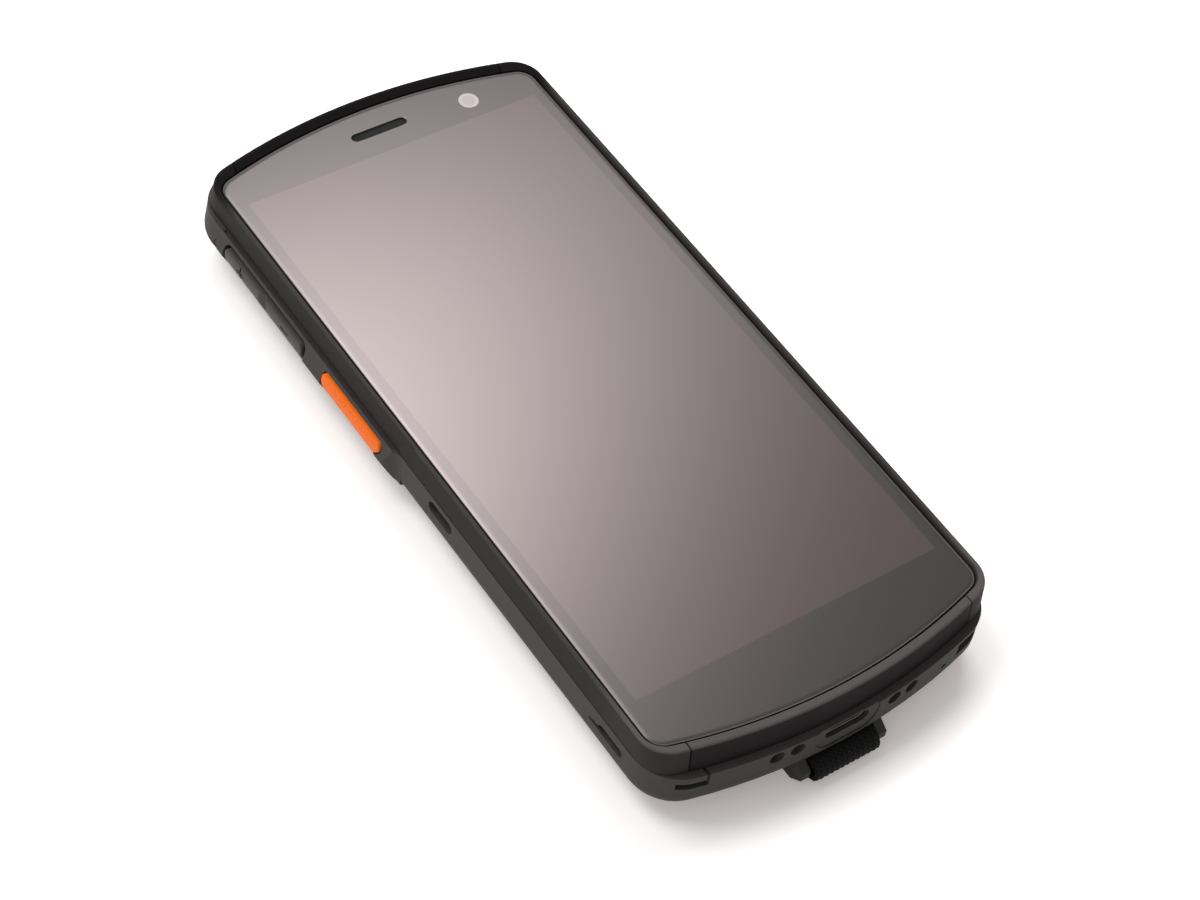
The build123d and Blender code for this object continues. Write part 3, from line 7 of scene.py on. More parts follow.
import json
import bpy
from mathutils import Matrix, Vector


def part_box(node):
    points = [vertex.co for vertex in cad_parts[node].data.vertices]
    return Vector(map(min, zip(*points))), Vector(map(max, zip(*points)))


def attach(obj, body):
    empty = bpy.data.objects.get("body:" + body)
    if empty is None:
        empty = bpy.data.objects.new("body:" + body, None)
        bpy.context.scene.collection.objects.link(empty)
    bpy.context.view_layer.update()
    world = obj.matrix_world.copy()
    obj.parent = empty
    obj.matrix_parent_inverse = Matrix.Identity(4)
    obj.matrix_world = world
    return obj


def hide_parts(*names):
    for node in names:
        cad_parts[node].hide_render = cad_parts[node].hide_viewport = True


bl_info = {
    "name": "Handheld data terminal",
    "version": (1, 0, 0),
    "blender": (4, 5, 0),
    "location": "3D View > Sidebar > Terminal",
    "description": "Builds the visible pieces and finishes of a handheld data terminal",
    "category": "Add Mesh",
}

from math import radians

import bpy
import numpy as np
from bpy.props import FloatProperty, FloatVectorProperty, IntProperty, PointerProperty
from mathutils import Matrix, Vector

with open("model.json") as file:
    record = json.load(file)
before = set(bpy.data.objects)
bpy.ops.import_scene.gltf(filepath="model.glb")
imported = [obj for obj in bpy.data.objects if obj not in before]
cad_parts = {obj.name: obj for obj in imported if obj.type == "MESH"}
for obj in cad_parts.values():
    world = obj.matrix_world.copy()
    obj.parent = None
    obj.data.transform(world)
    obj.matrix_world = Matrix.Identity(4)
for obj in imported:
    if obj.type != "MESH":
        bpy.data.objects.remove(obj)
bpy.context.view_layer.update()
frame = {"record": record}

MM = 0.001
BODY = "terminal"

# The terminal's plan: half its width, its two ends, and the middles of the arcs that bow the ends
HALF_WIDTH = 35.5
BOTTOM_Y, TOP_Y = -78.7, 81.3
BOTTOM_BOW_Y, TOP_BOW_Y = 39.3, -36.7

# Radius and height of the arc that rounds the faces of the side keys
KEY_ARC = 5.0
KEY_ARC_Z = 9.6

# Millimetres that one unit of a UV map stands for
UV_SPAN = 100.0


def node_box(node):
    """Lowest and highest corners of a CAD node, in millimetres"""
    low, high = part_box(node)
    return np.array(low) / MM, np.array(high) / MM


# ---------------------------------------------------------------- materials


class Value:
    """A socket of a node tree that Python's operators work on, adding Math nodes"""

    def __init__(self, tree, socket):
        self.tree = tree
        self.socket = socket

    def __add__(self, other):
        return self.tree.math("ADD", self, other)

    def __sub__(self, other):
        return self.tree.math("SUBTRACT", self, other)

    def __rsub__(self, other):
        return self.tree.math("SUBTRACT", other, self)

    def __mul__(self, other):
        return self.tree.math("MULTIPLY", self, other)

    def __truediv__(self, other):
        return self.tree.math("DIVIDE", self, other)

    def __pow__(self, other):
        return self.tree.math("POWER", self, other)

    def __abs__(self):
        return self.tree.math("ABSOLUTE", self)

    __radd__ = __add__
    __rmul__ = __mul__

    def step(self, start, end):
        """Rises smoothly from 0 at start to 1 at end, whichever of the two is lower"""
        settings = {"interpolation_type": "SMOOTHSTEP"}
        sockets = {0: self, 1: start, 2: end, 3: 0.0, 4: 1.0}
        return self.tree.node("ShaderNodeMapRange", settings, sockets)


class Tree:
    """A node tree being written: node() adds any node and shade() the surface"""

    def __init__(self, owner):
        """Empties the nodes of a material or of the world"""
        owner.use_nodes = True
        self.nodes = owner.node_tree.nodes
        self.links = owner.node_tree.links
        self.nodes.clear()

    def node(self, kind, settings=None, sockets=None, output=0):
        """Adds a node, with its settings first and then the values or links of its sockets"""
        node = self.nodes.new(kind)
        for name, value in (settings or {}).items():
            setattr(node, name, value)
        for name, value in (sockets or {}).items():
            if isinstance(value, Value):
                self.links.new(value.socket, node.inputs[name])
            else:
                node.inputs[name].default_value = value
        return Value(self, node.outputs[output]) if node.outputs else None

    def math(self, operation, *terms):
        """A Math node on these terms"""
        return self.node("ShaderNodeMath", {"operation": operation}, dict(enumerate(terms)))

    def place(self, source="Object"):
        """Object coordinates or the piece's UV map, in millimetres"""
        coordinates = self.node("ShaderNodeTexCoord", output=source)
        sockets = {"Vector": coordinates, "Scale": UV_SPAN if source == "UV" else 1 / MM}
        return self.node("ShaderNodeVectorMath", {"operation": "SCALE"}, sockets)

    def parts(self, vector):
        """The three numbers of a vector"""
        split = self.node("ShaderNodeSeparateXYZ", sockets={0: vector}).socket.node
        return [Value(self, number) for number in split.outputs]

    def noise(self, place, size, detail=2.0, roughness=0.5):
        """Noise from 0 to 1 whose features are about size millimetres"""
        sockets = {"Vector": place, "Scale": 1 / size, "Detail": detail, "Roughness": roughness}
        return self.node("ShaderNodeTexNoise", sockets=sockets)

    def mix(self, factor, first, second):
        """Mixes two colours"""
        sockets = {0: factor, 6: first, 7: second}
        return self.node("ShaderNodeMix", {"data_type": "RGBA"}, sockets, output=2)

    def bump(self, height, depth, edge=None):
        """A normal from a height of 0 to 1 that stands for depth millimetres, over soft edges"""
        sockets = {"Height": height, "Distance": depth * MM, "Strength": 1.0}
        if edge:
            sockets["Normal"] = self.node("ShaderNodeBevel", {"samples": 4}, {"Radius": edge * MM})
        return self.node("ShaderNodeBump", sockets=sockets)

    def shade(self, **values):
        """Ends a material in a Principled shader; Base_Color stands for Base Color"""
        sockets = {name.replace("_", " "): value for name, value in values.items()}
        shader = self.node("ShaderNodeBsdfPrincipled", sockets=sockets)
        self.node("ShaderNodeOutputMaterial", sockets={"Surface": shader})


def opaque(colour, factor=1.0):
    """A colour as an RGBA value, made lighter or darker by factor"""
    return (*(min(channel * factor, 1.0) for channel in colour), 1.0)


def moulded(tree, colour, roughness, grain=0.22, depth=0.012, edge=0.18, **shader):
    """Spark-eroded plastic: fine grain, faint mottling and a roughness that wanders with it"""
    place = tree.place()
    broad = tree.noise(place, 9.0, 3.0)
    fine = tree.noise(place, grain, 3.0, 0.6)
    tree.shade(
        Base_Color=tree.mix(broad * 0.6 + fine * 0.4, opaque(colour, 0.88), opaque(colour, 1.12)),
        Roughness=roughness + (broad - 0.5) * 0.10 + (fine - 0.5) * 0.12,
        Normal=tree.bump(fine, depth, edge=edge),
        **shader,
    )


def soft_touch(tree, colour, roughness, edge=None, rim=None, lip=0.0, corner=None, **shader):
    """Soft rubbery overmould: finer grain than moulded plastic and hardly any mottling.

    rim is the tone of a painted highlight on its top face, full round the bottom end and as strong
    as lip elsewhere. A little of the painted highlight also covers the side of the bottom end.
    corner is the tone of painted shade on its top face round the top end.
    """
    place = tree.place()
    grain = tree.noise(place, 0.12, 2.0, 0.7)
    cloud = tree.noise(place, 14.0, 2.0)
    base = tree.mix(cloud * 0.7 + grain * 0.3, opaque(colour, 0.9), opaque(colour, 1.12))
    # Painted highlight in the rim tone: on the top face, full round the bottom end and by lip
    # elsewhere, and a little on the side of the bottom end
    if rim:
        side_highlight = 0.14
        _, along, height = tree.parts(place)
        top = node_box("front_frame")[1][2]
        bottom_end = along.step(-52.0, -66.0)
        top_face = height.step(top - 0.5, top - 0.1)
        painted_highlight = top_face * (bottom_end * (1 - lip) + lip) + (1 - top_face) * bottom_end * side_highlight
        base = tree.mix(painted_highlight, base, opaque(rim))
        # Painted shade in the corner tone on the top face round the top end
        if corner:
            painted_shade = along.step(61.0, 68.0) * height.step(top - 2.2, top - 0.9)
            base = tree.mix(painted_shade, base, opaque(corner))
    tree.shade(
        Base_Color=base,
        Roughness=roughness + (cloud - 0.5) * 0.08,
        Normal=tree.bump(grain, 0.006, edge=edge),
        **shader,
    )


def key_plastic(tree, colour, key, tip=1.0, mark_tone=1.0):
    """Key plastic on a face that is an arc: dots that stand out of it get a painted highlight, and
    the colour is darker in the marks that are sunk into it.

    reach is the distance from the arc's middle line. It passes the arc's radius at a dot and falls
    short of it in a mark. tip makes the dots' painted highlight lighter, and the factor after it
    makes the marks darker.
    """
    place = tree.place()
    across, along, height = tree.parts(place)
    low, high = node_box(key)
    middle, half_length = (low[1] + high[1]) / 2, (high[1] - low[1]) / 2
    mark_inset, mark_z = 7.0, 9.4
    reach = ((abs(across) + (low[0] + KEY_ARC)) ** 2 + (height - KEY_ARC_Z) ** 2) ** 0.5
    dot = reach.step(KEY_ARC + 0.02, KEY_ARC + 0.12)
    sunk = reach.step(KEY_ARC - 0.14, KEY_ARC - 0.26)
    off_mark = abs(abs(along - middle) - (half_length - mark_inset))
    mark = sunk * off_mark.step(1.6, 1.4) * abs(height - mark_z).step(1.35, 1.2)
    broad = tree.noise(place, 9.0, 3.0)
    fine = tree.noise(place, 0.16, 3.0, 0.6)
    base = tree.mix(broad * 0.6 + fine * 0.4, opaque(colour, 0.95), opaque(colour, 1.05))
    # Painted highlight: the dots' colour is lighter by tip
    base = tree.mix(dot, base, opaque(colour, tip))
    tree.shade(
        Base_Color=tree.mix(mark, base, opaque(colour, mark_tone)),
        Roughness=0.5 + (broad - 0.5) * 0.10 + (fine - 0.5) * 0.12,
        Specular_IOR_Level=0.15,
        Normal=tree.bump(fine, 0.008, edge=0.18),
    )


def brushed(tree, colour, roughness, axis=0):
    """Rolled or turned metal: streaks along one axis in its tone and roughness"""
    place = tree.place()
    stretch = [1.0, 1.0, 1.0]
    stretch[axis] = 0.04
    sockets = {"Vector": place, "Scale": stretch}
    streak = tree.noise(tree.node("ShaderNodeMapping", sockets=sockets), 0.09, 3.0, 0.7)
    cloud = tree.noise(place, 4.0, 2.0)
    tree.shade(
        Base_Color=tree.mix(streak, opaque(colour, 0.9), opaque(colour, 1.1)),
        Metallic=1.0,
        Roughness=roughness + (streak - 0.5) * 0.16 + (cloud - 0.5) * 0.08,
        Normal=tree.bump(streak, 0.004),
    )


def screen(tree, looks):
    """Cover glass over a black printed border and a display that is off and reflects a little more.
    The border's and the display's tones are partly painted reflection, lighter than their own
    colours.

    Each mask rises over a soft edge: the display's from its straight sides, and the front camera's
    disc and the ring in it from their distance to the camera's middle.
    """
    place = tree.place()
    across, along, _ = tree.parts(place)
    soft, disc_soft = 0.06, 0.12
    low, high = node_box("touch_display")
    middle = (low[1] + high[1]) / 2
    half_width, half_length = (high - low)[:2] / 2 - looks.mm("display_border")
    inside = abs(across).step(half_width + soft, half_width - soft)
    inside = inside * abs(along - middle).step(half_length + soft, half_length - soft)
    smear = tree.noise(place, 28.0, 2.0, 0.4)
    low, high = node_box("front_camera")
    middle = (low + high) / 2
    radius = looks.mm("aperture") / 2
    reach = ((across - middle[0]) ** 2 + (along - middle[1]) ** 2) ** 0.5
    aperture = reach.step(radius + disc_soft, radius - disc_soft)
    outer_ring = reach.step(radius - 0.75, radius - 0.55)
    # Partly painted reflection: the print's and the display's tones are lifted above their own dark
    # colours
    base = tree.mix(inside, opaque(looks.print_and_reflection_colour), opaque(looks.display_and_reflection_colour))
    disc = tree.mix(outer_ring, opaque(looks.camera_colour, 0.84), opaque(looks.camera_colour))
    tree.shade(
        Base_Color=tree.mix(aperture, base, disc),
        Roughness=0.035 + smear * 0.02,
        IOR=1.7,
        Specular_Tint=opaque(looks.glass_tint),
        Coat_Weight=inside * 0.12,
        Coat_Roughness=0.03,
    )


def circuit_board(tree, colour):
    """Solder mask over copper tracks: paler lines on a square grid that breaks up with noise"""
    place = tree.place()
    across, along, _ = tree.parts(place)
    lines_per_mm = 1.1
    region = tree.noise(place, 3.2, 1.0)
    lines = abs(tree.math("FRACT", across * lines_per_mm) - 0.5).step(0.30, 0.36)
    rows = abs(tree.math("FRACT", along * lines_per_mm) - 0.5).step(0.30, 0.36)
    track = lines * region.step(0.5, 0.54) + rows * region.step(0.46, 0.42)
    tree.shade(
        Base_Color=tree.mix(track, opaque(colour), opaque(colour, 2.1)),
        Roughness=0.34 - track * 0.06,
        Normal=tree.bump(track, 0.02),
        Coat_Weight=0.4,
        Coat_Roughness=0.2,
    )


def clear_glass(tree, colour, roughness, **shader):
    """Dark or tinted window: a deep body colour with faint cloudiness under a polished face"""
    cloud = tree.noise(tree.place(), 2.5, 2.0)
    tree.shade(
        Base_Color=tree.mix(cloud, opaque(colour, 0.85), opaque(colour, 1.15)),
        Roughness=roughness + cloud * 0.02,
        **shader,
    )


def webbing(tree, colour, pitch):
    """Woven polyester: warp ribs and weft picks in the piece's UV map, over and under in turn.

    The weave's height is the product of a sine across the ribs and one along the picks.
    """
    place = tree.place("UV")
    across, along, _ = tree.parts(place)
    pick_pitch = 0.62 * pitch
    warp = tree.math("SINE", across * (2 * np.pi / pitch))
    weft = tree.math("SINE", along * (2 * np.pi / pick_pitch))
    over = warp * weft * 0.5 + 0.5
    fibre = tree.noise(place, 0.07, 2.0, 0.7)
    height = over * 0.75 + fibre * 0.25
    # Painted shade and highlight: the colour darkens in the weave's hollows and lightens on its
    # crests, by the same height as the bump; the fibre noise is random tone
    tree.shade(
        Base_Color=tree.mix(height, opaque(colour, 0.45), opaque(colour, 1.7)),
        Roughness=0.95 - over * 0.2,
        Normal=tree.bump(height, 0.09),
        Specular_IOR_Level=0.15,
        Sheen_Weight=0.02,
        Sheen_Roughness=0.5,
    )


def knit(tree, colour):
    """Fine knitted cloth, slightly fuzzy: rows of loops, a sine that sways with the one across"""
    place = tree.place()
    across, along, _ = tree.parts(place)
    radians_per_mm = 9.0
    column = tree.math("SINE", across * radians_per_mm)
    row = tree.math("SINE", along * radians_per_mm + column * 1.2)
    fuzz = tree.noise(place, 0.16, 3.0, 0.7)
    height = (row * column * 0.35 + 0.5) * 0.7 + fuzz * 0.3
    # Painted shade and highlight: the colour darkens in the knit's hollows and lightens on its
    # loops, by the same height as the bump; the fuzz is random tone
    tree.shade(
        Base_Color=tree.mix(height, opaque(colour, 0.5), opaque(colour, 1.6)),
        Roughness=0.96 - fuzz * 0.12,
        Normal=tree.bump(height, 0.08),
        Sheen_Weight=0.2,
        Sheen_Roughness=0.45,
    )


def finish_makers(looks):
    """Which finish each material slot of the record gets"""
    housing, black, rim = looks.housing_colour, looks.frame_colour, looks.painted_highlight_colour
    return {
        "housing_charcoal": lambda t: moulded(t, housing, 0.62, Specular_IOR_Level=0.1),
        # The frame and the rails get a painted highlight in the rim tone; the rails also get
        # painted shade in the frame's black round the top end
        "frame_black": lambda t: soft_touch(t, black, 0.5, 0.2, rim, Specular_IOR_Level=0.02),
        "rail_soft": lambda t: soft_touch(
            t, looks.rail_colour, 0.66, 0.2, rim, 0.35, black, Specular_IOR_Level=0.06
        ),
        "key_charcoal": lambda t: key_plastic(t, housing, "volume_rocker", mark_tone=0.12),
        # tip=1.5 is a painted highlight: a lighter orange on the key dots
        "key_orange": lambda t: key_plastic(t, looks.key_colour, "scan_key_left", tip=1.5),
        "cover_black": lambda t: moulded(t, black, 0.58, grain=0.3, depth=0.02),
        "seal_rubber": lambda t: soft_touch(t, (0.02, 0.02, 0.02), 0.7),
        "engine_black": lambda t: moulded(t, (0.02, 0.02, 0.022), 0.4, edge=None),
        "speaker_black": lambda t: moulded(t, (0.03, 0.03, 0.03), 0.45, edge=None),
        "battery_wrap": lambda t: moulded(t, (0.05, 0.052, 0.056), 0.36, depth=0.004, edge=None),
        "adhesive_black": lambda t: soft_touch(t, (0.01, 0.01, 0.01), 0.8),
        "display_black": lambda t: clear_glass(t, (0.012, 0.012, 0.014), 0.1),
        "screen_glass": lambda t: screen(t, looks),
        "lens_dark": lambda t: clear_glass(t, looks.camera_colour, 0.25),
        "window_red": lambda t: clear_glass(t, (0.09, 0.004, 0.006), 0.06, Coat_Weight=0.5),
        "window_dark": lambda t: clear_glass(t, (0.008, 0.008, 0.012), 0.05, Coat_Weight=1.0),
        "lens_clear": lambda t: clear_glass(t, (0.72, 0.68, 0.42), 0.12, Coat_Weight=1.0),
        "mesh_metal": lambda t: brushed(t, (0.09, 0.09, 0.09), 0.42),
        "steel_plain": lambda t: brushed(t, (0.56, 0.56, 0.55), 0.32),
        "chassis_metal": lambda t: brushed(t, (0.48, 0.48, 0.49), 0.38, axis=1),
        "screw_steel": lambda t: brushed(t, (0.16, 0.16, 0.165), 0.34, axis=2),
        "port_steel": lambda t: brushed(t, (0.13, 0.125, 0.12), 0.4),
        "ring_metal": lambda t: brushed(t, (0.2, 0.2, 0.21), 0.3, axis=2),
        "contact_gold": lambda t: brushed(t, (0.86, 0.62, 0.26), 0.24, axis=2),
        "antenna_copper": lambda t: brushed(t, (0.72, 0.36, 0.2), 0.3),
        "board_green": lambda t: circuit_board(t, (0.012, 0.075, 0.035)),
        "flex_amber": lambda t: moulded(t, (0.36, 0.15, 0.03), 0.3, depth=0.003, edge=None),
        "webbing_black": lambda t: webbing(t, looks.strap_colour, looks.mm("rib_pitch")),
        "pad_fabric": lambda t: knit(t, looks.pad_colour),
    }


def finish_nodes(looks):
    """Writes the material of every slot in the record"""
    makers = finish_makers(looks)
    for slot in [material["slot"] for material in frame["record"]["materials"]]:
        material = bpy.data.materials.get(slot) or bpy.data.materials.new(slot)
        makers[slot](Tree(material))


# ---------------------------------------------------------------- surfaces


def add_piece(name, rings, slot, body=BODY, replaces=(), looped=False, uv=None, crease=38.0):
    """Makes a mesh from stacks of closed rings and puts it on a body.

    rings is an array of stacks, rings, points and three numbers in millimetres. Point p of ring r
    joins points p and p + 1 of ring r + 1. A stack is capped at both ends, or joined end to end
    where looped. Faces point outwards: where the enclosed volume comes out negative, they turn.
    """
    stacks, count, around, _ = rings.shape
    index = np.arange(stacks * count * around).reshape(stacks, count, around)
    low = index if looped else index[:, :-1]
    high = np.roll(index, -1, axis=1) if looped else index[:, 1:]
    corners = (low, np.roll(low, -1, axis=2), np.roll(high, -1, axis=2), high)
    faces = np.stack(corners, axis=-1).reshape(-1, 4).tolist()
    if not looped:
        faces += index[:, 0, ::-1].tolist() + index[:, -1].tolist()
    points = rings.reshape(-1, 3) * MM
    mesh = bpy.data.meshes.new(name)
    mesh.from_pydata(points, [], faces)
    mesh.polygons.foreach_set("use_smooth", np.ones(len(faces), dtype=bool))
    if uv is not None:
        layer = mesh.uv_layers.new(name="weave")
        corner_points = np.zeros(len(mesh.loops), dtype=np.int32)
        mesh.loops.foreach_get("vertex_index", corner_points)
        layer.data.foreach_set("uv", uv.reshape(-1, 2)[corner_points].ravel())
    mesh.calc_loop_triangles()
    triangles = np.zeros(3 * len(mesh.loop_triangles), dtype=np.int32)
    mesh.loop_triangles.foreach_get("vertices", triangles)
    a, b, c = points[triangles.reshape(-1, 3).T]
    if np.einsum("ij,ij->", a, np.cross(b, c)) < 0:
        mesh.flip_normals()
    mesh.set_sharp_from_angle(angle=radians(crease))
    mesh.materials.append(bpy.data.materials[slot])
    piece = bpy.data.objects.new(name, mesh)
    bpy.context.scene.collection.objects.link(piece)
    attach(piece, body)
    if replaces:
        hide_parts(*replaces)
    return piece


def turns(count):
    """Angles of one whole turn"""
    return np.arange(count) * 2 * np.pi / count


def travelled(places):
    """Distance along a path of places, from its first to each of them"""
    return np.concatenate([[0], np.cumsum(np.linalg.norm(np.diff(places, axis=0), axis=1))])


def sampled(path, run, at):
    """Places on a flat path at these distances along it, where run holds those of its points"""
    return np.stack([np.interp(at, run, path[:, 0]), np.interp(at, run, path[:, 1])], axis=-1)


def bowed_outline(half, bottom, top, corner, side=36, bend=10, bow=48):
    """Anticlockwise plan of the terminal: straight sides at half, bowed ends and round corners.

    A corner's circle touches the side and the bow from inside, so its centre is half - corner
    across and a bow radius less corner from the bow's centre.
    """
    across = half - corner
    ends = []
    for bow_y, apex in ((TOP_BOW_Y, top), (BOTTOM_BOW_Y, bottom)):
        radius = abs(apex - bow_y)
        rise = np.sqrt((radius - corner) ** 2 - across**2)
        ends.append((bow_y, radius, rise, np.arctan2(rise, across)))
    (top_y, top_radius, top_rise, top_angle), (low_y, low_radius, low_rise, low_angle) = ends
    high, low = top_y + top_rise, low_y - low_rise

    def arc(x, y, radius, start, end, count):
        angle = np.linspace(start, end, count, endpoint=False)
        return np.stack([x + radius * np.cos(angle), y + radius * np.sin(angle)], axis=-1)

    def line(x, start, end):
        y = np.linspace(start, end, side, endpoint=False)
        return np.stack([np.full(side, x), y], axis=-1)

    return np.concatenate([
        line(half, low, high),
        arc(across, high, corner, 0, top_angle, bend),
        arc(0, top_y, top_radius, top_angle, np.pi - top_angle, bow),
        arc(-across, high, corner, np.pi - top_angle, np.pi, bend),
        line(-half, high, low),
        arc(-across, low, corner, np.pi, np.pi + low_angle, bend),
        arc(0, low_y, low_radius, np.pi + low_angle, 2 * np.pi - low_angle, bow),
        arc(across, low, corner, 2 * np.pi - low_angle, 2 * np.pi, bend),
    ])


def stadium(half_length, radius, count=48):
    """A slot shape: a circle of that radius whose two halves are moved apart"""
    angle = turns(count) + np.pi / count
    x = radius * np.cos(angle) + (half_length - radius) * np.sign(np.cos(angle))
    return np.stack([x, radius * np.sin(angle)], axis=-1)


def stadium_reach(direction, half_length, radius):
    """How far a slot shape's edge lies from its middle in each direction.

    A ray meets the flat side at radius / |sine|, or the end circle where that lies past the flat.
    """
    cosine, sine = np.abs(np.cos(direction)), np.abs(np.sin(direction))
    flat = half_length - radius
    side = radius / np.maximum(sine, 1e-9)
    end = flat * cosine + np.sqrt(np.maximum(radius**2 - (flat * sine) ** 2, 0))
    return np.where(side * cosine <= flat, side, end)


def lathe(profile, x, y, count=64):
    """Stack of a shape turned about an upright line: profile gives radius and height pairs"""
    profile = np.asarray(profile, dtype=float)
    angle = turns(count)
    ring = np.stack([np.cos(angle), np.sin(angle), np.zeros(count)], axis=-1)
    rings = profile[:, None, :1] * ring + profile[:, None, 1:] * np.array([0.0, 0.0, 1.0])
    return (rings + np.array([x, y, 0.0]))[None]


def beads(centres, along, outward, length, width, height):
    """Stacks of seven rings for stitches: ellipsoids that lie along a surface.

    At a share t of the half length, a ring has the root of 1 - t squared of the whole girth.
    """
    across = np.cross(along, outward)
    place = np.linspace(-1, 1, 7)
    girth = np.sqrt(np.maximum(1 - place**2, 0.02))
    angle = turns(8)
    ring = np.cos(angle)[:, None] * across[:, None, None, :] * width / 2
    ring = ring + np.sin(angle)[:, None] * outward[:, None, None, :] * height / 2
    shift = place[:, None, None] * along[:, None, None, :] * length / 2
    return centres[:, None, None, :] + shift + girth[:, None, None] * ring


def woven(surface, length, width, pitch, wire):
    """Two families of wires over a surface, each passing over and under the other in turn.

    surface maps distance along, distance across and height to a place. A wire rises by its lift
    times the cosine of its distance in pitches, and the families take opposite signs.
    """
    lift = wire * 0.55
    angle = turns(6)
    families = []
    for run, spread, sign in ((length, width, 1), (width, length, -1)):
        wires = np.arange(pitch / 2, spread, pitch) - spread / 2
        steps = np.arange(0, run + pitch / 4, pitch / 2) - run / 2
        lane = np.arange(len(wires))[:, None, None]
        height = sign * lift * np.cos(np.pi * (steps[None, :, None] / pitch + lane))
        height = height + wire / 2 * np.sin(angle)
        side = wires[:, None, None] + wire / 2 * np.cos(angle)
        along, side = np.broadcast_arrays(steps[None, :, None], side)
        first, second = (along, side) if sign > 0 else (side, along)
        families.append(surface(first, second, height))
    return families


# ---------------------------------------------------------------- pieces


def make_screen(looks):
    """Cover glass with a softly falling edge and a rounded earpiece slot.

    Rings run down the outer wall, under the sheet, up the slot's wall and out over the top. The
    edge falls by a quarter ellipse: fall times 1 - sqrt(1 - t squared) over the edge's width.
    """
    low, high = node_box("cover_glass")
    slot_low, slot_high = node_box("earpiece_mesh")
    centre = (slot_low + slot_high)[:2] / 2
    slot_half = (slot_high - slot_low)[:2] / 2 + 0.05
    half, corner, bevel = high[0], 3.6, 0.1
    width, fall = looks.mm("edge_width"), looks.mm("edge_fall")

    def ring(inset, z):
        plan = bowed_outline(half - inset, low[1] + inset, high[1] - inset, corner - inset)
        return np.column_stack([plan, np.full(len(plan), z)])

    outer = bowed_outline(half, low[1], high[1], corner)
    direction = np.arctan2(outer[:, 1] - centre[1], outer[:, 0] - centre[0])
    ray = np.stack([np.cos(direction), np.sin(direction)], axis=-1)

    def slot_ring(grow, z):
        reach = stadium_reach(direction, slot_half[0] + grow, slot_half[1] + grow)
        return np.column_stack([centre + ray * reach[:, None], np.full(len(ray), z)])

    stations = np.linspace(0, 1, 9)
    top = [ring(width * (1 - t), high[2] - fall * (1 - np.sqrt(1 - t**2))) for t in stations]
    top = [ring(width + 1.0, high[2]), ring(width + 0.2, high[2])] + top
    under = [ring(bevel, low[2]), slot_ring(bevel, low[2])]
    slot_rim = ((0, 0.12), (0.04, 0.03), (0.12, 0.0), (0.16, 0.0), (0.6, 0.0))
    wall = [slot_ring(0, low[2] + bevel)]
    wall += [slot_ring(grow, high[2] - down) for grow, down in slot_rim]
    bridge = [wall[-1] + (top[0] - wall[-1]) * t for t in np.linspace(0, 1, 8)[1:-1]]
    side = [ring(0, high[2] - fall - bevel), ring(0, low[2] + bevel)]
    rings = np.array(side + under + wall + bridge + top)[None]
    add_piece("cover_glass_sheet", rings, "screen_glass", replaces=["cover_glass"], looped=True)


def make_meshes(looks):
    """Woven wire meshes: one in the earpiece slot with felt behind it, one behind the corner slot
    """
    pitch, wire = looks.mm("mesh_pitch"), looks.mm("mesh_wire")
    low, high = node_box("earpiece_mesh")
    middle = (low + high) / 2
    size = high - low
    end_radius = size[1] / 2

    def flat(first, second, height):
        """Keeps the wires inside the slot's rounded ends"""
        reach = size[0] / 2 - end_radius + np.sqrt(np.maximum(end_radius**2 - second**2, 0.01))
        x = np.clip(first, -reach, reach)
        return np.stack([middle[0] + x, middle[1] + second, high[2] - wire + height], axis=-1)

    along, across = woven(flat, size[0], size[1], pitch, wire)
    add_piece("earpiece_wires_long", along, "mesh_metal", replaces=["earpiece_mesh"])
    add_piece("earpiece_wires_short", across, "mesh_metal")
    outline = middle[:2] + stadium(size[0] / 2, end_radius)
    felt = [np.column_stack([outline, np.full(len(outline), low[2] + z)]) for z in (0.05, 0.35)]
    add_piece("earpiece_felt", np.array(felt)[None], "adhesive_black")

    low, high = node_box("speaker_mesh")
    inset, corner = 2.0, 7.0
    plan = bowed_outline(
        HALF_WIDTH - inset, BOTTOM_Y + inset, TOP_Y - inset, corner, bend=60, bow=160
    )
    plan = plan[(plan[:, 0] > low[0]) & (plan[:, 0] < high[0]) & (plan[:, 1] < 0)]
    run = travelled(plan)

    def curved(first, second, height):
        """Bends the mesh along the corner's outline, with its height outwards"""
        place = first + run[-1] / 2
        here = sampled(plan, run, place)
        step = sampled(plan, run, place + 0.05) - here
        step = step / np.maximum(np.linalg.norm(step, axis=-1, keepdims=True), 1e-9)
        x = here[..., 0] + step[..., 1] * height
        y = here[..., 1] - step[..., 0] * height
        return np.stack([x, y, (low[2] + high[2]) / 2 + second], axis=-1)

    along, across = woven(curved, run[-1] - 0.2, high[2] - low[2] - 0.1, pitch, wire)
    add_piece("speaker_wires_long", along, "mesh_metal", replaces=["speaker_mesh"])
    add_piece("speaker_wires_short", across, "mesh_metal")


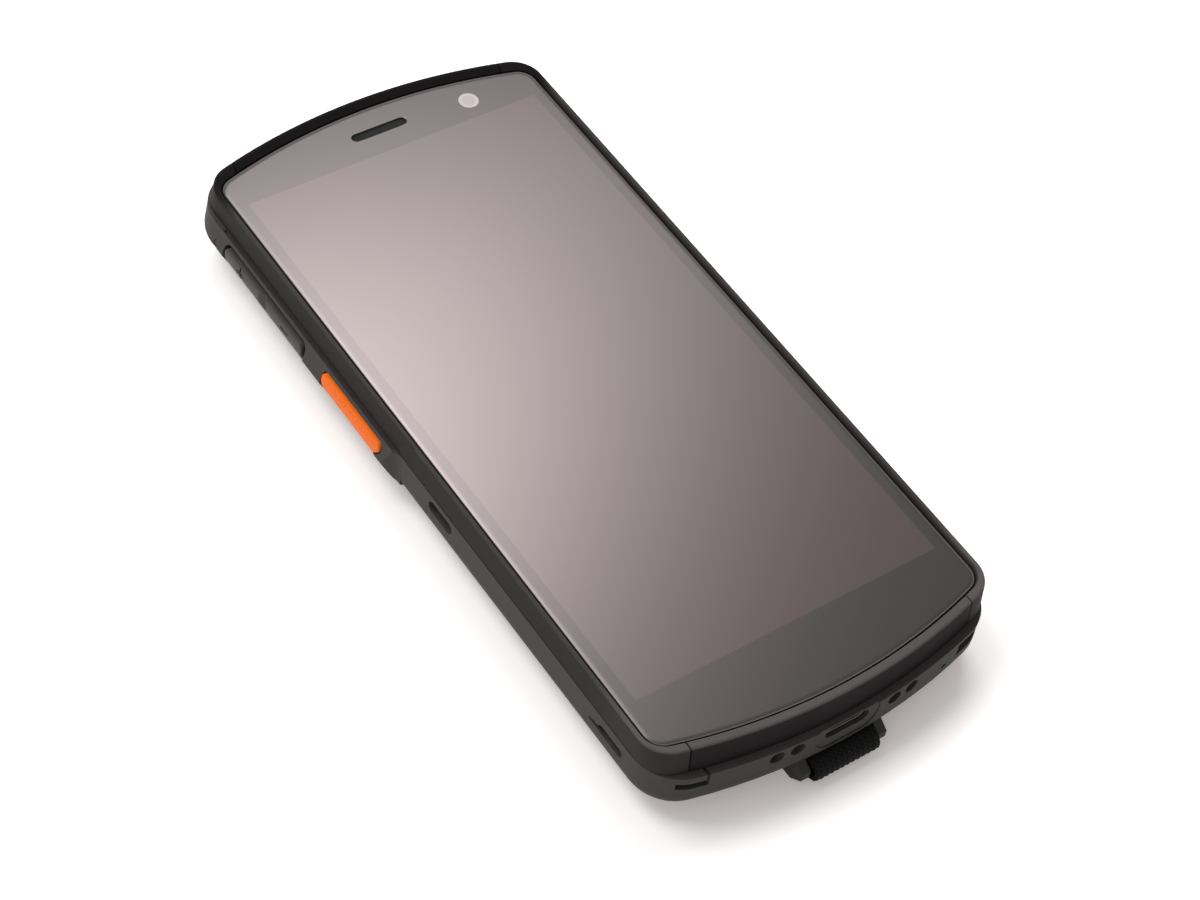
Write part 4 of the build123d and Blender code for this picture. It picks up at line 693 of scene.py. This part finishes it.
def make_port():
    """Charging port: rolled steel shell with a rounded mouth, black tongue and its gold pads.

    The shell's rings are slot shapes that run along the outside, over a half-round lip and inside.
    The tongue's rings are slot shapes too, and each pad is a bar with a square section.
    """
    low, high = node_box("usb_receptacle")
    middle = (low + high) / 2
    half = (high - low)[[0, 2]] / 2
    wall = 0.3

    def ring(half_length, radius, y, count=48):
        x, z = stadium(half_length, radius, count).T
        return np.column_stack([middle[0] + x, np.full(count, y), middle[2] + z])

    lip = wall / 2 * (1 - np.cos(np.linspace(0, np.pi, 7)))
    lip_y = low[1] + wall / 2 * (1 - np.sin(np.linspace(0, np.pi, 7)))
    insets = [0, *lip, wall]
    places = [high[1], *lip_y, high[1] - wall]
    rings = [ring(half[0] - inset, half[1] - inset, y) for inset, y in zip(insets, places)]
    add_piece("usb_shell", np.array(rings)[None], "port_steel", replaces=["usb_receptacle"])

    tip, root = low[1] + 0.9, high[1] - wall
    spread, thick, bevel = 3.35, 0.35, 0.12
    profile = ((tip, bevel), (tip + bevel, 0.0), (root, 0.0))
    tongue = [ring(spread - inset, thick - inset, y, 24) for y, inset in profile]
    add_piece("usb_tongue", np.array(tongue)[None], "engine_black")

    pad_count, pad_pitch, half_pad, rise = 12, 0.5, 0.125, 0.03
    x = (np.arange(pad_count) - (pad_count - 1) / 2) * pad_pitch
    y = np.array([tip + 0.3, tip + 3.6])
    section = np.array([[-half_pad, 0.0], [half_pad, 0.0], [half_pad, rise], [-half_pad, rise]])
    for number, side in enumerate((1.0, -1.0), 1):
        rings = np.zeros((pad_count, 2, 4, 3))
        rings[..., 0] = x[:, None, None] + section[:, 0]
        rings[..., 1] = y[None, :, None]
        rings[..., 2] = middle[2] + side * (thick + section[:, 1])
        add_piece(f"usb_pads_{number}", rings, "contact_gold")


def make_optics():
    """Rear camera's window with a stepped well and a domed lens, and the ridged flash lens.

    Both are turned. The dome falls by the square of the distance from its middle, and the ridges
    are a zigzag of the profile's height.
    """
    low, high = node_box("camera_window")
    middle, radius = (low + high) / 2, (high[0] - low[0]) / 2
    steps = ((3.1, 0.0), (3.0, 0.1), (2.7, 0.15), (2.6, 0.4), (2.2, 0.45), (2.1, 0.6))
    profile = [(radius, high[2]), (radius, low[2] + 0.1), (radius - 0.1, low[2])]
    profile += [(reach, low[2] + depth) for reach, depth in steps]
    dome = np.linspace(1, 0.02, 8)
    profile += [(1.9 * t, low[2] + 0.3 + 0.3 * t**2) for t in dome]
    rings = lathe(profile, *middle[:2])
    add_piece("camera_lens", rings, "window_dark", replaces=["camera_window"])

    low, high = node_box("flash_lens")
    middle, radius = (low + high) / 2, (high[0] - low[0]) / 2
    ridges = np.linspace(radius - 0.15, 0.03, 25)
    depths = np.where(np.arange(25) % 2 == 0, 0.0, 0.07)
    profile = [(radius, high[2]), (radius, low[2] + 0.05), (radius - 0.05, low[2])]
    profile += [(reach, low[2] + depth) for reach, depth in zip(ridges, depths)]
    rings = lathe(profile, *middle[:2])
    add_piece("flash_ridges", rings, "lens_clear", replaces=["flash_lens"], crease=10.0)


def make_key_dots(looks):
    """A row of small raised dots along each scan key, which rides with the key.

    A dot is a low dome of five rings. It stands square to the key's arc, at the angle whose sine
    is the row's height over the arc's middle in radii.
    """
    start_inset, end_inset, rise = 4.8, 3.2, 1.9
    profile = np.array([(1.0, -0.3), (0.96, 0.15), (0.72, 0.6), (0.35, 0.9), (0.06, 1.0)])
    angle = turns(12)
    for side, key in ((-1, "scan_key_left"), (1, "scan_key_right")):
        low, high = node_box(key)
        crest = high[0] if side > 0 else -low[0]
        z = (low[2] + high[2]) / 2 + rise
        y = np.linspace(low[1] + start_inset, high[1] - end_inset, looks.dot_count)
        lean = np.arcsin((z - KEY_ARC_Z) / KEY_ARC)
        outward = np.array([side * np.cos(lean), 0.0, np.sin(lean)])
        x = side * (crest - KEY_ARC + KEY_ARC * np.cos(lean))
        centres = np.stack([np.full(len(y), x), y, np.full(len(y), z)], axis=-1)
        up = np.cross(outward, [0.0, 1.0, 0.0])
        ring = np.cos(angle)[:, None] * np.array([0.0, 1.0, 0.0]) + np.sin(angle)[:, None] * up
        dot = profile[:, None, :1] * ring * looks.mm("dot_radius")
        dot = dot + profile[:, None, 1:] * outward * looks.mm("dot_height")
        add_piece(f"{key}_dots", centres[:, None, None] + dot, "key_orange", body=key)


def strap_path(thickness):
    """Middle line of the webbing in side view: distances, places and directions along Y and Z.

    It starts at the end of the bottom fold-back, comes down to the bar, passes round it by an arc,
    runs along under the terminal, and does the same the other way round at the top anchor. The
    step from the folded layer up to the bar is a cubic, 3 t squared - 2 t cubed, to the power 0.9.
    """
    low, high = node_box("strap_webbing")
    bar_low, bar_high = node_box("strap_bars")
    bar_z = (bar_low[2] + bar_high[2]) / 2
    bar_inset, reach = 2.4, 1.85
    fold_end, ramp_start = 20.4, 7.6
    run_z = low[2] + thickness / 2
    fold_z = run_z + thickness + 0.2
    angle = np.linspace(radians(60), radians(270), 40)
    t = np.linspace(0, 1, 24)
    arc_y, arc_z = reach * np.cos(angle), bar_z + reach * np.sin(angle)
    ramp_y = ramp_start + (arc_y[0] - ramp_start) * t
    ramp_z = fold_z + (arc_z[0] - fold_z) * (3 * t**2 - 2 * t**3) ** 0.9
    loop_y = np.concatenate([[fold_end], ramp_y, arc_y[1:]])
    loop_z = np.concatenate([[fold_z], ramp_z, arc_z[1:]])
    y = np.concatenate([low[1] + bar_inset + loop_y, (high[1] - bar_inset - loop_y)[::-1]])
    z = np.concatenate([loop_z, loop_z[::-1]])
    path = np.stack([y, z], axis=-1)
    distance = travelled(path)
    even = np.linspace(0, distance[-1], 520)
    places = sampled(path, distance, even)
    ahead = np.gradient(places, axis=0)
    return even, places, ahead / np.linalg.norm(ahead, axis=1)[:, None]


def make_strap(looks):
    """Hand strap: ribbed webbing round both bars, with the padded part and the stitches on it"""
    make_webbing(looks.mm("rib_pitch"))
    make_pad(looks.mm("channel_pitch"), looks.mm("stitch_pitch"))


def make_webbing(rib_pitch):
    """Webbing: a flat band with half-round edges, carried along the strap's path.

    Its faces rise by ribs, rib height times the cosine of the distance across in rib pitches, and
    its thickness swells by a small share of the cosine of the distance along in rib pitches.
    """
    low, high = node_box("strap_webbing")
    half_width, thickness, rib, swell = (high[0] - low[0]) / 2, 1.1, 0.07, 0.06
    distance, places, ahead = strap_path(thickness)
    across = np.linspace(-1, 1, 57)
    edge = (np.abs(across) * half_width - (half_width - thickness / 2)) / (thickness / 2)
    edge = np.clip(edge, 0, 1)
    depth = (thickness / 2 - rib) * np.sqrt(1 - edge**2 * 0.96)
    depth = depth + rib * np.cos(2 * np.pi * across * half_width / rib_pitch) * (1 - edge)
    depth = np.concatenate([depth, -depth[::-1]])
    x = np.concatenate([across, across[::-1]]) * half_width
    normal = np.stack([-ahead[:, 1], ahead[:, 0]], axis=-1)
    picks = 1 + swell * np.cos(2 * np.pi * distance / rib_pitch)
    offset = normal[:, None] * (depth[None] * picks[:, None])[..., None]
    rings = np.zeros((1, len(distance), len(x), 3))
    rings[0, :, :, 0] = x
    rings[0, :, :, 1:] = places[:, None] + offset
    uv = np.zeros((1, len(distance), len(x), 2))
    uv[0, :, :, 0] = x / UV_SPAN
    uv[0, :, :, 1] = distance[:, None] / UV_SPAN
    strap = add_piece(
        "strap_webbing_woven", rings, "webbing_black", replaces=["strap_webbing"], uv=uv
    )
    2 * half_width * MM


def make_pad(channel_pitch, stitch_pitch):
    """Quilted pad with a bound edge.

    Its plan is a rectangle with rounded corners. It swells by a quarter ellipse from the edge, and
    sinks by a bell curve of the distance from each sewn channel. The binding is an ellipse that is
    carried round the edge, with a weave about twice as fine as the webbing's.
    """
    low, high = node_box("strap_pad")
    middle, half = (low + high) / 2, (high - low) / 2
    corner, margin = 9.0, 0.3
    edge_height, swell_height, swell_reach = 0.18, 0.37, 3.0
    channel_depth, channel_spread = 0.34, 0.9
    binding_width, binding_height = 1.4, 1.0
    rows = np.sin(np.linspace(-1, 1, 220) * np.pi / 2) * (half[1] - margin)
    bend = np.clip(np.abs(rows) - (half[1] - corner), 0, corner)
    reach = half[0] - margin - corner + np.sqrt(corner**2 - bend**2)
    width_at = reach[:, None] * np.sin(np.linspace(-1, 1, 61) * np.pi / 2)[None]
    room = np.minimum(reach[:, None] - np.abs(width_at), (half[1] - margin - np.abs(rows))[:, None])
    swell = np.sqrt(1 - (1 - np.clip(room / swell_reach, 0, 1)) ** 2)
    channel = np.abs((rows / channel_pitch + 0.5) % 1 - 0.5) * channel_pitch
    quilt = 1 - channel_depth * np.exp(-((channel / channel_spread) ** 2))
    puff = (edge_height + swell_height * swell) * quilt[:, None]
    rings = np.zeros((1, len(rows), 2 * width_at.shape[1], 3))
    rings[0, :, :, 0] = middle[0] + np.concatenate([width_at, width_at[:, ::-1]], axis=1)
    rings[0, :, :, 1] = middle[1] + rows[:, None]
    rings[0, :, :, 2] = middle[2] + np.concatenate([puff, -puff[:, ::-1]], axis=1)
    pad = add_piece("strap_pad_quilted", rings, "pad_fabric", replaces=["strap_pad"])

    inset = binding_width / 2
    border = rounded_plan(half[0] - inset, half[1] - inset, corner - inset) + middle[:2]
    step = np.roll(border, -1, axis=0) - np.roll(border, 1, axis=0)
    step = step / np.linalg.norm(step, axis=1)[:, None]
    out = np.stack([step[:, 1], -step[:, 0]], axis=-1)
    angle = turns(14)
    section = np.stack([inset * np.cos(angle), binding_height / 2 * np.sin(angle)], axis=-1)
    rings = np.zeros((1, len(border), len(angle), 3))
    rings[0, :, :, :2] = border[:, None] + out[:, None] * section[None, :, :1]
    rings[0, :, :, 2] = middle[2] + section[:, 1]
    uv = np.broadcast_arrays(section[None, :, 0] / 50, np.arange(len(border))[:, None] / 90)
    add_piece("strap_pad_binding", rings, "webbing_black", looped=True, uv=np.stack(uv, -1))
    make_stitches(stitch_pitch, border, step, low, high)


def rounded_plan(half_x, half_y, corner, count=360):
    """Evenly spaced places round a rectangle whose corners are a circle's quarters, moved apart"""
    angle = turns(2000)
    x = corner * np.cos(angle) + (half_x - corner) * np.sign(np.cos(angle))
    y = corner * np.sin(angle) + (half_y - corner) * np.sign(np.sin(angle))
    closed = np.stack([np.append(x, x[0]), np.append(y, y[0])], axis=-1)
    run = travelled(closed)
    return sampled(closed, run, np.linspace(0, run[-1], count, endpoint=False))


def sewn(corners, pitch):
    """Stitch places and directions along a path of straight seams, each of whole stitches"""
    corners = np.asarray(corners, dtype=float)
    places, directions = [], []
    rounding = 0.001
    for start, end in zip(corners[:-1], corners[1:]):
        length = np.linalg.norm(end - start)
        # A seam that is short of whole stitches only by rounding keeps its last one
        count = max(int(length / pitch + rounding), 1)
        t = (np.arange(count) + 0.5) / count
        places.append(start + (end - start) * t[:, None])
        directions.append(np.repeat([(end - start) / length], count, axis=0))
    return np.concatenate(places), np.concatenate(directions)


def make_stitches(pitch, border, step, pad_low, pad_high):
    """Thread on the strap's under side.

    There is a row in the pad's binding, a crossed box on each sewn fold, and two rows across the
    webbing at each end of the pad.
    """
    low, high = node_box("strap_webbing")
    middle = (pad_low + pad_high)[:2] / 2
    w = high[0] - 2.0
    inward, fold_inset, box_length, row_inset, row_gap = 0.972, 11.0, 9.5, 4.0, 3.0
    in_binding, in_webbing = pad_low[2] + 0.05, low[2] - 0.01
    length, thread_width, thread_height = 0.72 * pitch, 0.3, 0.26
    picked = (border[::2] - middle) * inward + middle
    rows = [(picked, step[::2], in_binding)]
    for y, direction in ((low[1] + fold_inset, 1), (high[1] - fold_inset, -1)):
        a, b = y, y + direction * box_length
        box = ((-w, a), (w, a), (w, b), (-w, b), (-w, a))
        for path in (box, ((-w, a), (w, b)), ((w, a), (-w, b))):
            rows.append((*sewn(path, pitch), in_webbing))
    for end in (-1, 1):
        y = middle[1] + end * (pad_high[1] - middle[1] - row_inset)
        for shift in (0.0, -row_gap * end):
            rows.append((*sewn(((-w, y + shift), (w, y + shift)), pitch), in_webbing))
    centres = np.concatenate([np.column_stack([at, np.full(len(at), z)]) for at, _, z in rows])
    along = np.concatenate([np.column_stack([way, np.zeros(len(way))]) for _, way, _ in rows])
    down = np.tile([0.0, 0.0, -1.0], (len(along), 1))
    rings = beads(centres, along, down, length, thread_width, thread_height)
    add_piece("strap_stitches", rings, "webbing_black", uv=rings[..., :2] / UV_SPAN)


# ---------------------------------------------------------------- stage


def make_camera():
    """The photograph's viewing angle: solved from the screen's edges and the two bowed ends"""
    data = bpy.data.cameras.new("camera")
    data.sensor_width = 36.0
    data.lens = 81.06
    data.clip_start = 0.01
    camera = bpy.data.objects.new("camera", data)
    right = (0.82197, -0.55852, 0.11149)
    up = (0.37667, 0.67994, 0.62913)
    back = (-0.42718, -0.47512, 0.76927)
    place = (-0.2059, -0.23585, 0.3756)
    rows = [[right[i], up[i], back[i], place[i]] for i in range(3)] + [[0, 0, 0, 1]]
    camera.matrix_world = Matrix(rows)
    bpy.context.scene.collection.objects.link(camera)
    bpy.context.scene.camera = camera


def flat_sheet(name, low, high, height, material):
    """A flat face that looks up, between two opposite corners in metres"""
    (x0, y0), (x1, y1) = low, high
    points = [(x0, y0, height), (x1, y0, height), (x1, y1, height), (x0, y1, height)]
    mesh = bpy.data.meshes.new(name)
    mesh.from_pydata(points, [], [(0, 1, 2, 3)])
    mesh.materials.append(material)
    sheet = bpy.data.objects.new(name, mesh)
    bpy.context.scene.collection.objects.link(sheet)
    return sheet


def background_rays(tree):
    """1 for the rays that show the background: from the camera, off gloss or through glass"""
    kinds = ("Is Camera Ray", "Is Glossy Ray", "Is Transmission Ray")
    camera, glossy, through = (tree.node("ShaderNodeLightPath", output=kind) for kind in kinds)
    return tree.math("MINIMUM", camera + glossy + through, 1.0)


def make_floor(looks):
    """Pale paper that keeps the object's shadow, with a faint glow for the rays that show it"""
    material = bpy.data.materials.new("floor_paper")
    tree = Tree(material)
    paper = tree.node("ShaderNodeBsdfDiffuse", sockets={"Color": opaque(looks.floor_colour)})
    strength = background_rays(tree) * looks.floor_glow
    glow = {"Color": opaque(looks.glow_colour), "Strength": strength}
    white = tree.node("ShaderNodeEmission", sockets=glow)
    both = tree.node("ShaderNodeAddShader", sockets={0: paper, 1: white})
    tree.node("ShaderNodeOutputMaterial", sockets={"Surface": both})
    flat_sheet("floor", (-6, -6), (6, 6), 0, material)


def make_card(looks):
    """Large soft card overhead that only gloss and glass show: the light patch on the screen.

    It fades by a bell curve: e to the power of minus half the sum of the squares of the distances
    from its middle, along its long axis and across it, each divided by its own spread. Its places
    are shares of its height over the glass, which is 18 mm over the floor.
    """
    height, glass = 1.5, 0.018
    middle = np.array([0.237, 0.633]) * height
    reach = np.array([0.66, 0.5]) * height
    long_spread, short_spread = 0.281 * height, 0.143 * height
    turn = radians(26.0)
    material = bpy.data.materials.new("soft_card")
    tree = Tree(material)
    x, y, _ = tree.parts(tree.node("ShaderNodeTexCoord", output="Object"))
    east, north = x - middle[0], y - middle[1]
    along = (east * np.cos(turn) + north * np.sin(turn)) / long_spread
    across = (north * np.cos(turn) - east * np.sin(turn)) / short_spread
    fade = tree.math("EXPONENT", (along * along + across * across) * -0.5)
    light = {"Color": (1, 1, 1, 1), "Strength": fade * looks.card_strength}
    glow = tree.node("ShaderNodeEmission", sockets=light)
    tree.node("ShaderNodeOutputMaterial", sockets={"Surface": glow})
    card = flat_sheet("soft_card", middle - reach, middle + reach, height + glass, material)
    card.data.flip_normals()
    card.visible_camera = False
    card.visible_shadow = False
    card.visible_diffuse = False


def make_lamps(looks):
    """Two square lamps that face the terminal from past its top end and don't show in its gloss"""
    for name, spot, power in (
        ("left_lamp", Vector((-0.45, 0.55, 1.25)), looks.left_power),
        ("right_lamp", Vector((0.42, 0.68, 1.25)), looks.right_power),
    ):
        light = bpy.data.lights.new(name, "AREA")
        light.energy = power
        light.size = 0.7
        lamp = bpy.data.objects.new(name, light)
        lamp.location = spot
        lamp.rotation_euler = spot.to_track_quat("Z", "Y").to_euler()
        lamp.visible_glossy = False
        bpy.context.scene.collection.objects.link(lamp)


def make_surround(looks):
    """White surround that lights softly: more from the left and less from the camera's side"""
    world = bpy.data.worlds.new("surround")
    bpy.context.scene.world = world
    tree = Tree(world)
    east, north, _ = tree.parts(tree.node("ShaderNodeTexCoord", output="Generated"))
    west, south = east.step(0.0, -1.0), north.step(0.0, -1.0)
    soft = looks.surround_strength + west * looks.west_strength - south * looks.south_shade
    strength = soft + background_rays(tree) * (1.0 - soft)
    air = {"Color": (1, 1, 1, 1), "Strength": strength}
    background = tree.node("ShaderNodeBackground", sockets=air)
    tree.node("ShaderNodeOutputWorld", sockets={"Surface": background})
    bpy.context.scene.view_settings.view_transform = "Standard"


# ---------------------------------------------------------------- add-on


def colour_property(name, description, default):
    """A colour that a user may change"""
    return FloatVectorProperty(
        name=name,
        description=description,
        default=default,
        subtype="COLOR",
        size=3,
        min=0.0,
        max=1.0,
    )


def length_property(name, description, default, lowest=0.0):
    """A length that a user may change: in millimetres here, and kept in metres"""
    return FloatProperty(
        name=name,
        description=description,
        default=default * MM,
        min=lowest * MM,
        unit="LENGTH",
        precision=5,
    )


def light_property(name, description, default, unit="NONE"):
    """A light's power or strength that a user may change"""
    return FloatProperty(name=name, description=description, default=default, min=0.0, unit=unit)


class TerminalLooks(bpy.types.PropertyGroup):
    """Colours, sizes and lights of the terminal's dressing"""

    housing_colour: colour_property("Housing", "Plastic of the rear housing", (0.053, 0.05, 0.048))
    frame_colour: colour_property("Frame", "Hard black frame at both ends", (0.009, 0.008, 0.008))
    rail_colour: colour_property("Rails", "Soft rails along the sides", (0.024, 0.020, 0.019))
    # Tone of the painted highlight on the top faces of the frame and the rails
    painted_highlight_colour: colour_property("Painted highlight", "Painted highlight on the top face round the bottom end", (0.085, 0.077, 0.077))
    key_colour: colour_property("Scan keys", "Orange of the scan keys", (0.80, 0.14, 0.006))
    # The print and display tones carry painted reflection on top of their own dark colours
    print_and_reflection_colour: colour_property("Print", "Print behind the glass's border", (0.054, 0.048, 0.048))
    display_and_reflection_colour: colour_property("Display", "Display, switched off", (0.080, 0.063, 0.062))
    glass_tint: colour_property("Glass tint", "Tint of what the glass reflects", (1.0, 0.86, 0.85))
    camera_colour: colour_property("Front camera", "Disc of the front camera", (0.42, 0.37, 0.37))
    strap_colour: colour_property("Strap", "Black webbing", (0.0028, 0.0025, 0.0022))
    pad_colour: colour_property("Strap pad", "Cloth of the strap's pad", (0.022, 0.022, 0.023))
    floor_colour: colour_property("Floor", "Paper that the terminal lies on", (0.95, 0.94, 0.935))
    glow_colour: colour_property("Floor glow", "White that is added to the paper", (1.0, 0.9, 0.86))
    aperture: length_property("Front camera", "Clear disc over the front camera", 3.9, 0.5)
    display_border: length_property("Display border", "Dark rim of the display", 1.1)
    edge_width: length_property("Glass edge width", "Width of the glass's falling edge", 0.9)
    edge_fall: length_property("Glass edge fall", "How far the glass's edge falls", 0.09)
    mesh_pitch: length_property("Mesh pitch", "Spacing of the wires", 0.3, 0.2)
    mesh_wire: length_property("Mesh wire", "Thickness of the wires", 0.12, 0.02)
    rib_pitch: length_property("Rib pitch", "Spacing of the webbing's ribs", 1.1, 0.3)
    channel_pitch: length_property("Channel pitch", "Spacing of the pad's channels", 11.0, 3.0)
    stitch_pitch: length_property("Stitch pitch", "Length of a stitch and its gap", 1.9, 0.5)
    dot_count: IntProperty(name="Key dots", description="Dots on a key", default=8, min=1, max=20)
    dot_radius: length_property("Dot radius", "Radius of a key dot", 0.26, 0.05)
    dot_height: length_property("Dot height", "Height of a key dot", 0.14, 0.02)
    floor_glow: FloatProperty(
        name="Floor white",
        description="Share of the white that is added to the paper",
        default=0.24,
        min=0.0,
        max=1.0,
        subtype="FACTOR",
    )
    left_power: light_property("Left lamp", "Power of the left lamp", 11.0, "POWER")
    right_power: light_property("Right lamp", "Power of the right lamp", 10.5, "POWER")
    west_strength: light_property("Left light", "Extra light from the left", 0.45)
    south_shade: light_property("Near shade", "Light missing on the camera's side", 0.2)
    card_strength: light_property("Card", "Brightness of the soft card's middle", 10.2)
    surround_strength: light_property("Surround", "Brightness of the even surround", 0.38)

    def mm(self, name):
        """One of the lengths, in millimetres"""
        return getattr(self, name) / MM


class FinishNodes(bpy.types.Operator):
    """Gives every CAD solid the finish of its material slot"""

    bl_idname = "terminal.finish_nodes"
    bl_label = "Finish the solids"
    bl_options = {"REGISTER", "UNDO"}

    def execute(self, context):
        finish_nodes(context.scene.terminal_looks)
        return {"FINISHED"}


class AddScreen(bpy.types.Operator):
    """Adds the cover glass with its falling edge"""

    bl_idname = "terminal.add_screen"
    bl_label = "Cover glass"
    bl_options = {"REGISTER", "UNDO"}

    def execute(self, context):
        make_screen(context.scene.terminal_looks)
        return {"FINISHED"}


class AddMeshes(bpy.types.Operator):
    """Adds the woven meshes of the earpiece and the loudspeaker"""

    bl_idname = "terminal.add_meshes"
    bl_label = "Sound meshes"
    bl_options = {"REGISTER", "UNDO"}

    def execute(self, context):
        make_meshes(context.scene.terminal_looks)
        return {"FINISHED"}


class AddPort(bpy.types.Operator):
    """Adds the charging port's shell, tongue and pads"""

    bl_idname = "terminal.add_port"
    bl_label = "Charging port"
    bl_options = {"REGISTER", "UNDO"}

    def execute(self, context):
        make_port()
        return {"FINISHED"}


class AddOptics(bpy.types.Operator):
    """Adds the rear camera's lens and the flash lens"""

    bl_idname = "terminal.add_optics"
    bl_label = "Camera and flash"
    bl_options = {"REGISTER", "UNDO"}

    def execute(self, context):
        make_optics()
        return {"FINISHED"}


class AddKeyDots(bpy.types.Operator):
    """Adds the raised dots of both scan keys"""

    bl_idname = "terminal.add_key_dots"
    bl_label = "Key dots"
    bl_options = {"REGISTER", "UNDO"}

    def execute(self, context):
        make_key_dots(context.scene.terminal_looks)
        return {"FINISHED"}


class AddStrap(bpy.types.Operator):
    """Adds the hand strap: webbing, pad, binding and stitches"""

    bl_idname = "terminal.add_strap"
    bl_label = "Hand strap"
    bl_options = {"REGISTER", "UNDO"}

    def execute(self, context):
        make_strap(context.scene.terminal_looks)
        return {"FINISHED"}


class AddStage(bpy.types.Operator):
    """Adds the camera, floor, soft card, lamps and surround"""

    bl_idname = "terminal.add_stage"
    bl_label = "Stage"
    bl_options = {"REGISTER", "UNDO"}

    def execute(self, context):
        looks = context.scene.terminal_looks
        make_camera()
        make_floor(looks)
        make_card(looks)
        make_lamps(looks)
        make_surround(looks)
        return {"FINISHED"}


STEPS = (FinishNodes, AddScreen, AddMeshes, AddPort, AddOptics, AddKeyDots, AddStrap, AddStage)


class TerminalPanel(bpy.types.Panel):
    """Lists the steps and the looks in the 3D view's sidebar"""

    bl_idname = "VIEW3D_PT_terminal"
    bl_label = "Handheld data terminal"
    bl_space_type = "VIEW_3D"
    bl_region_type = "UI"
    bl_category = "Terminal"

    def draw(self, context):
        for step in STEPS:
            self.layout.operator(step.bl_idname)
        looks = context.scene.terminal_looks
        for name in TerminalLooks.__annotations__:
            self.layout.prop(looks, name)


CLASSES = (TerminalLooks, *STEPS, TerminalPanel)


def register():
    for cls in CLASSES:
        bpy.utils.register_class(cls)
    bpy.types.Scene.terminal_looks = PointerProperty(type=TerminalLooks)


def unregister():
    del bpy.types.Scene.terminal_looks
    for cls in reversed(CLASSES):
        bpy.utils.unregister_class(cls)


def main():
    """Registers the add-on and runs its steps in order"""
    register()
    bpy.ops.terminal.finish_nodes()
    bpy.ops.terminal.add_screen()
    bpy.ops.terminal.add_meshes()
    bpy.ops.terminal.add_port()
    bpy.ops.terminal.add_optics()
    bpy.ops.terminal.add_key_dots()
    bpy.ops.terminal.add_strap()
    bpy.ops.terminal.add_stage()


if __name__ == "__main__":
    main()
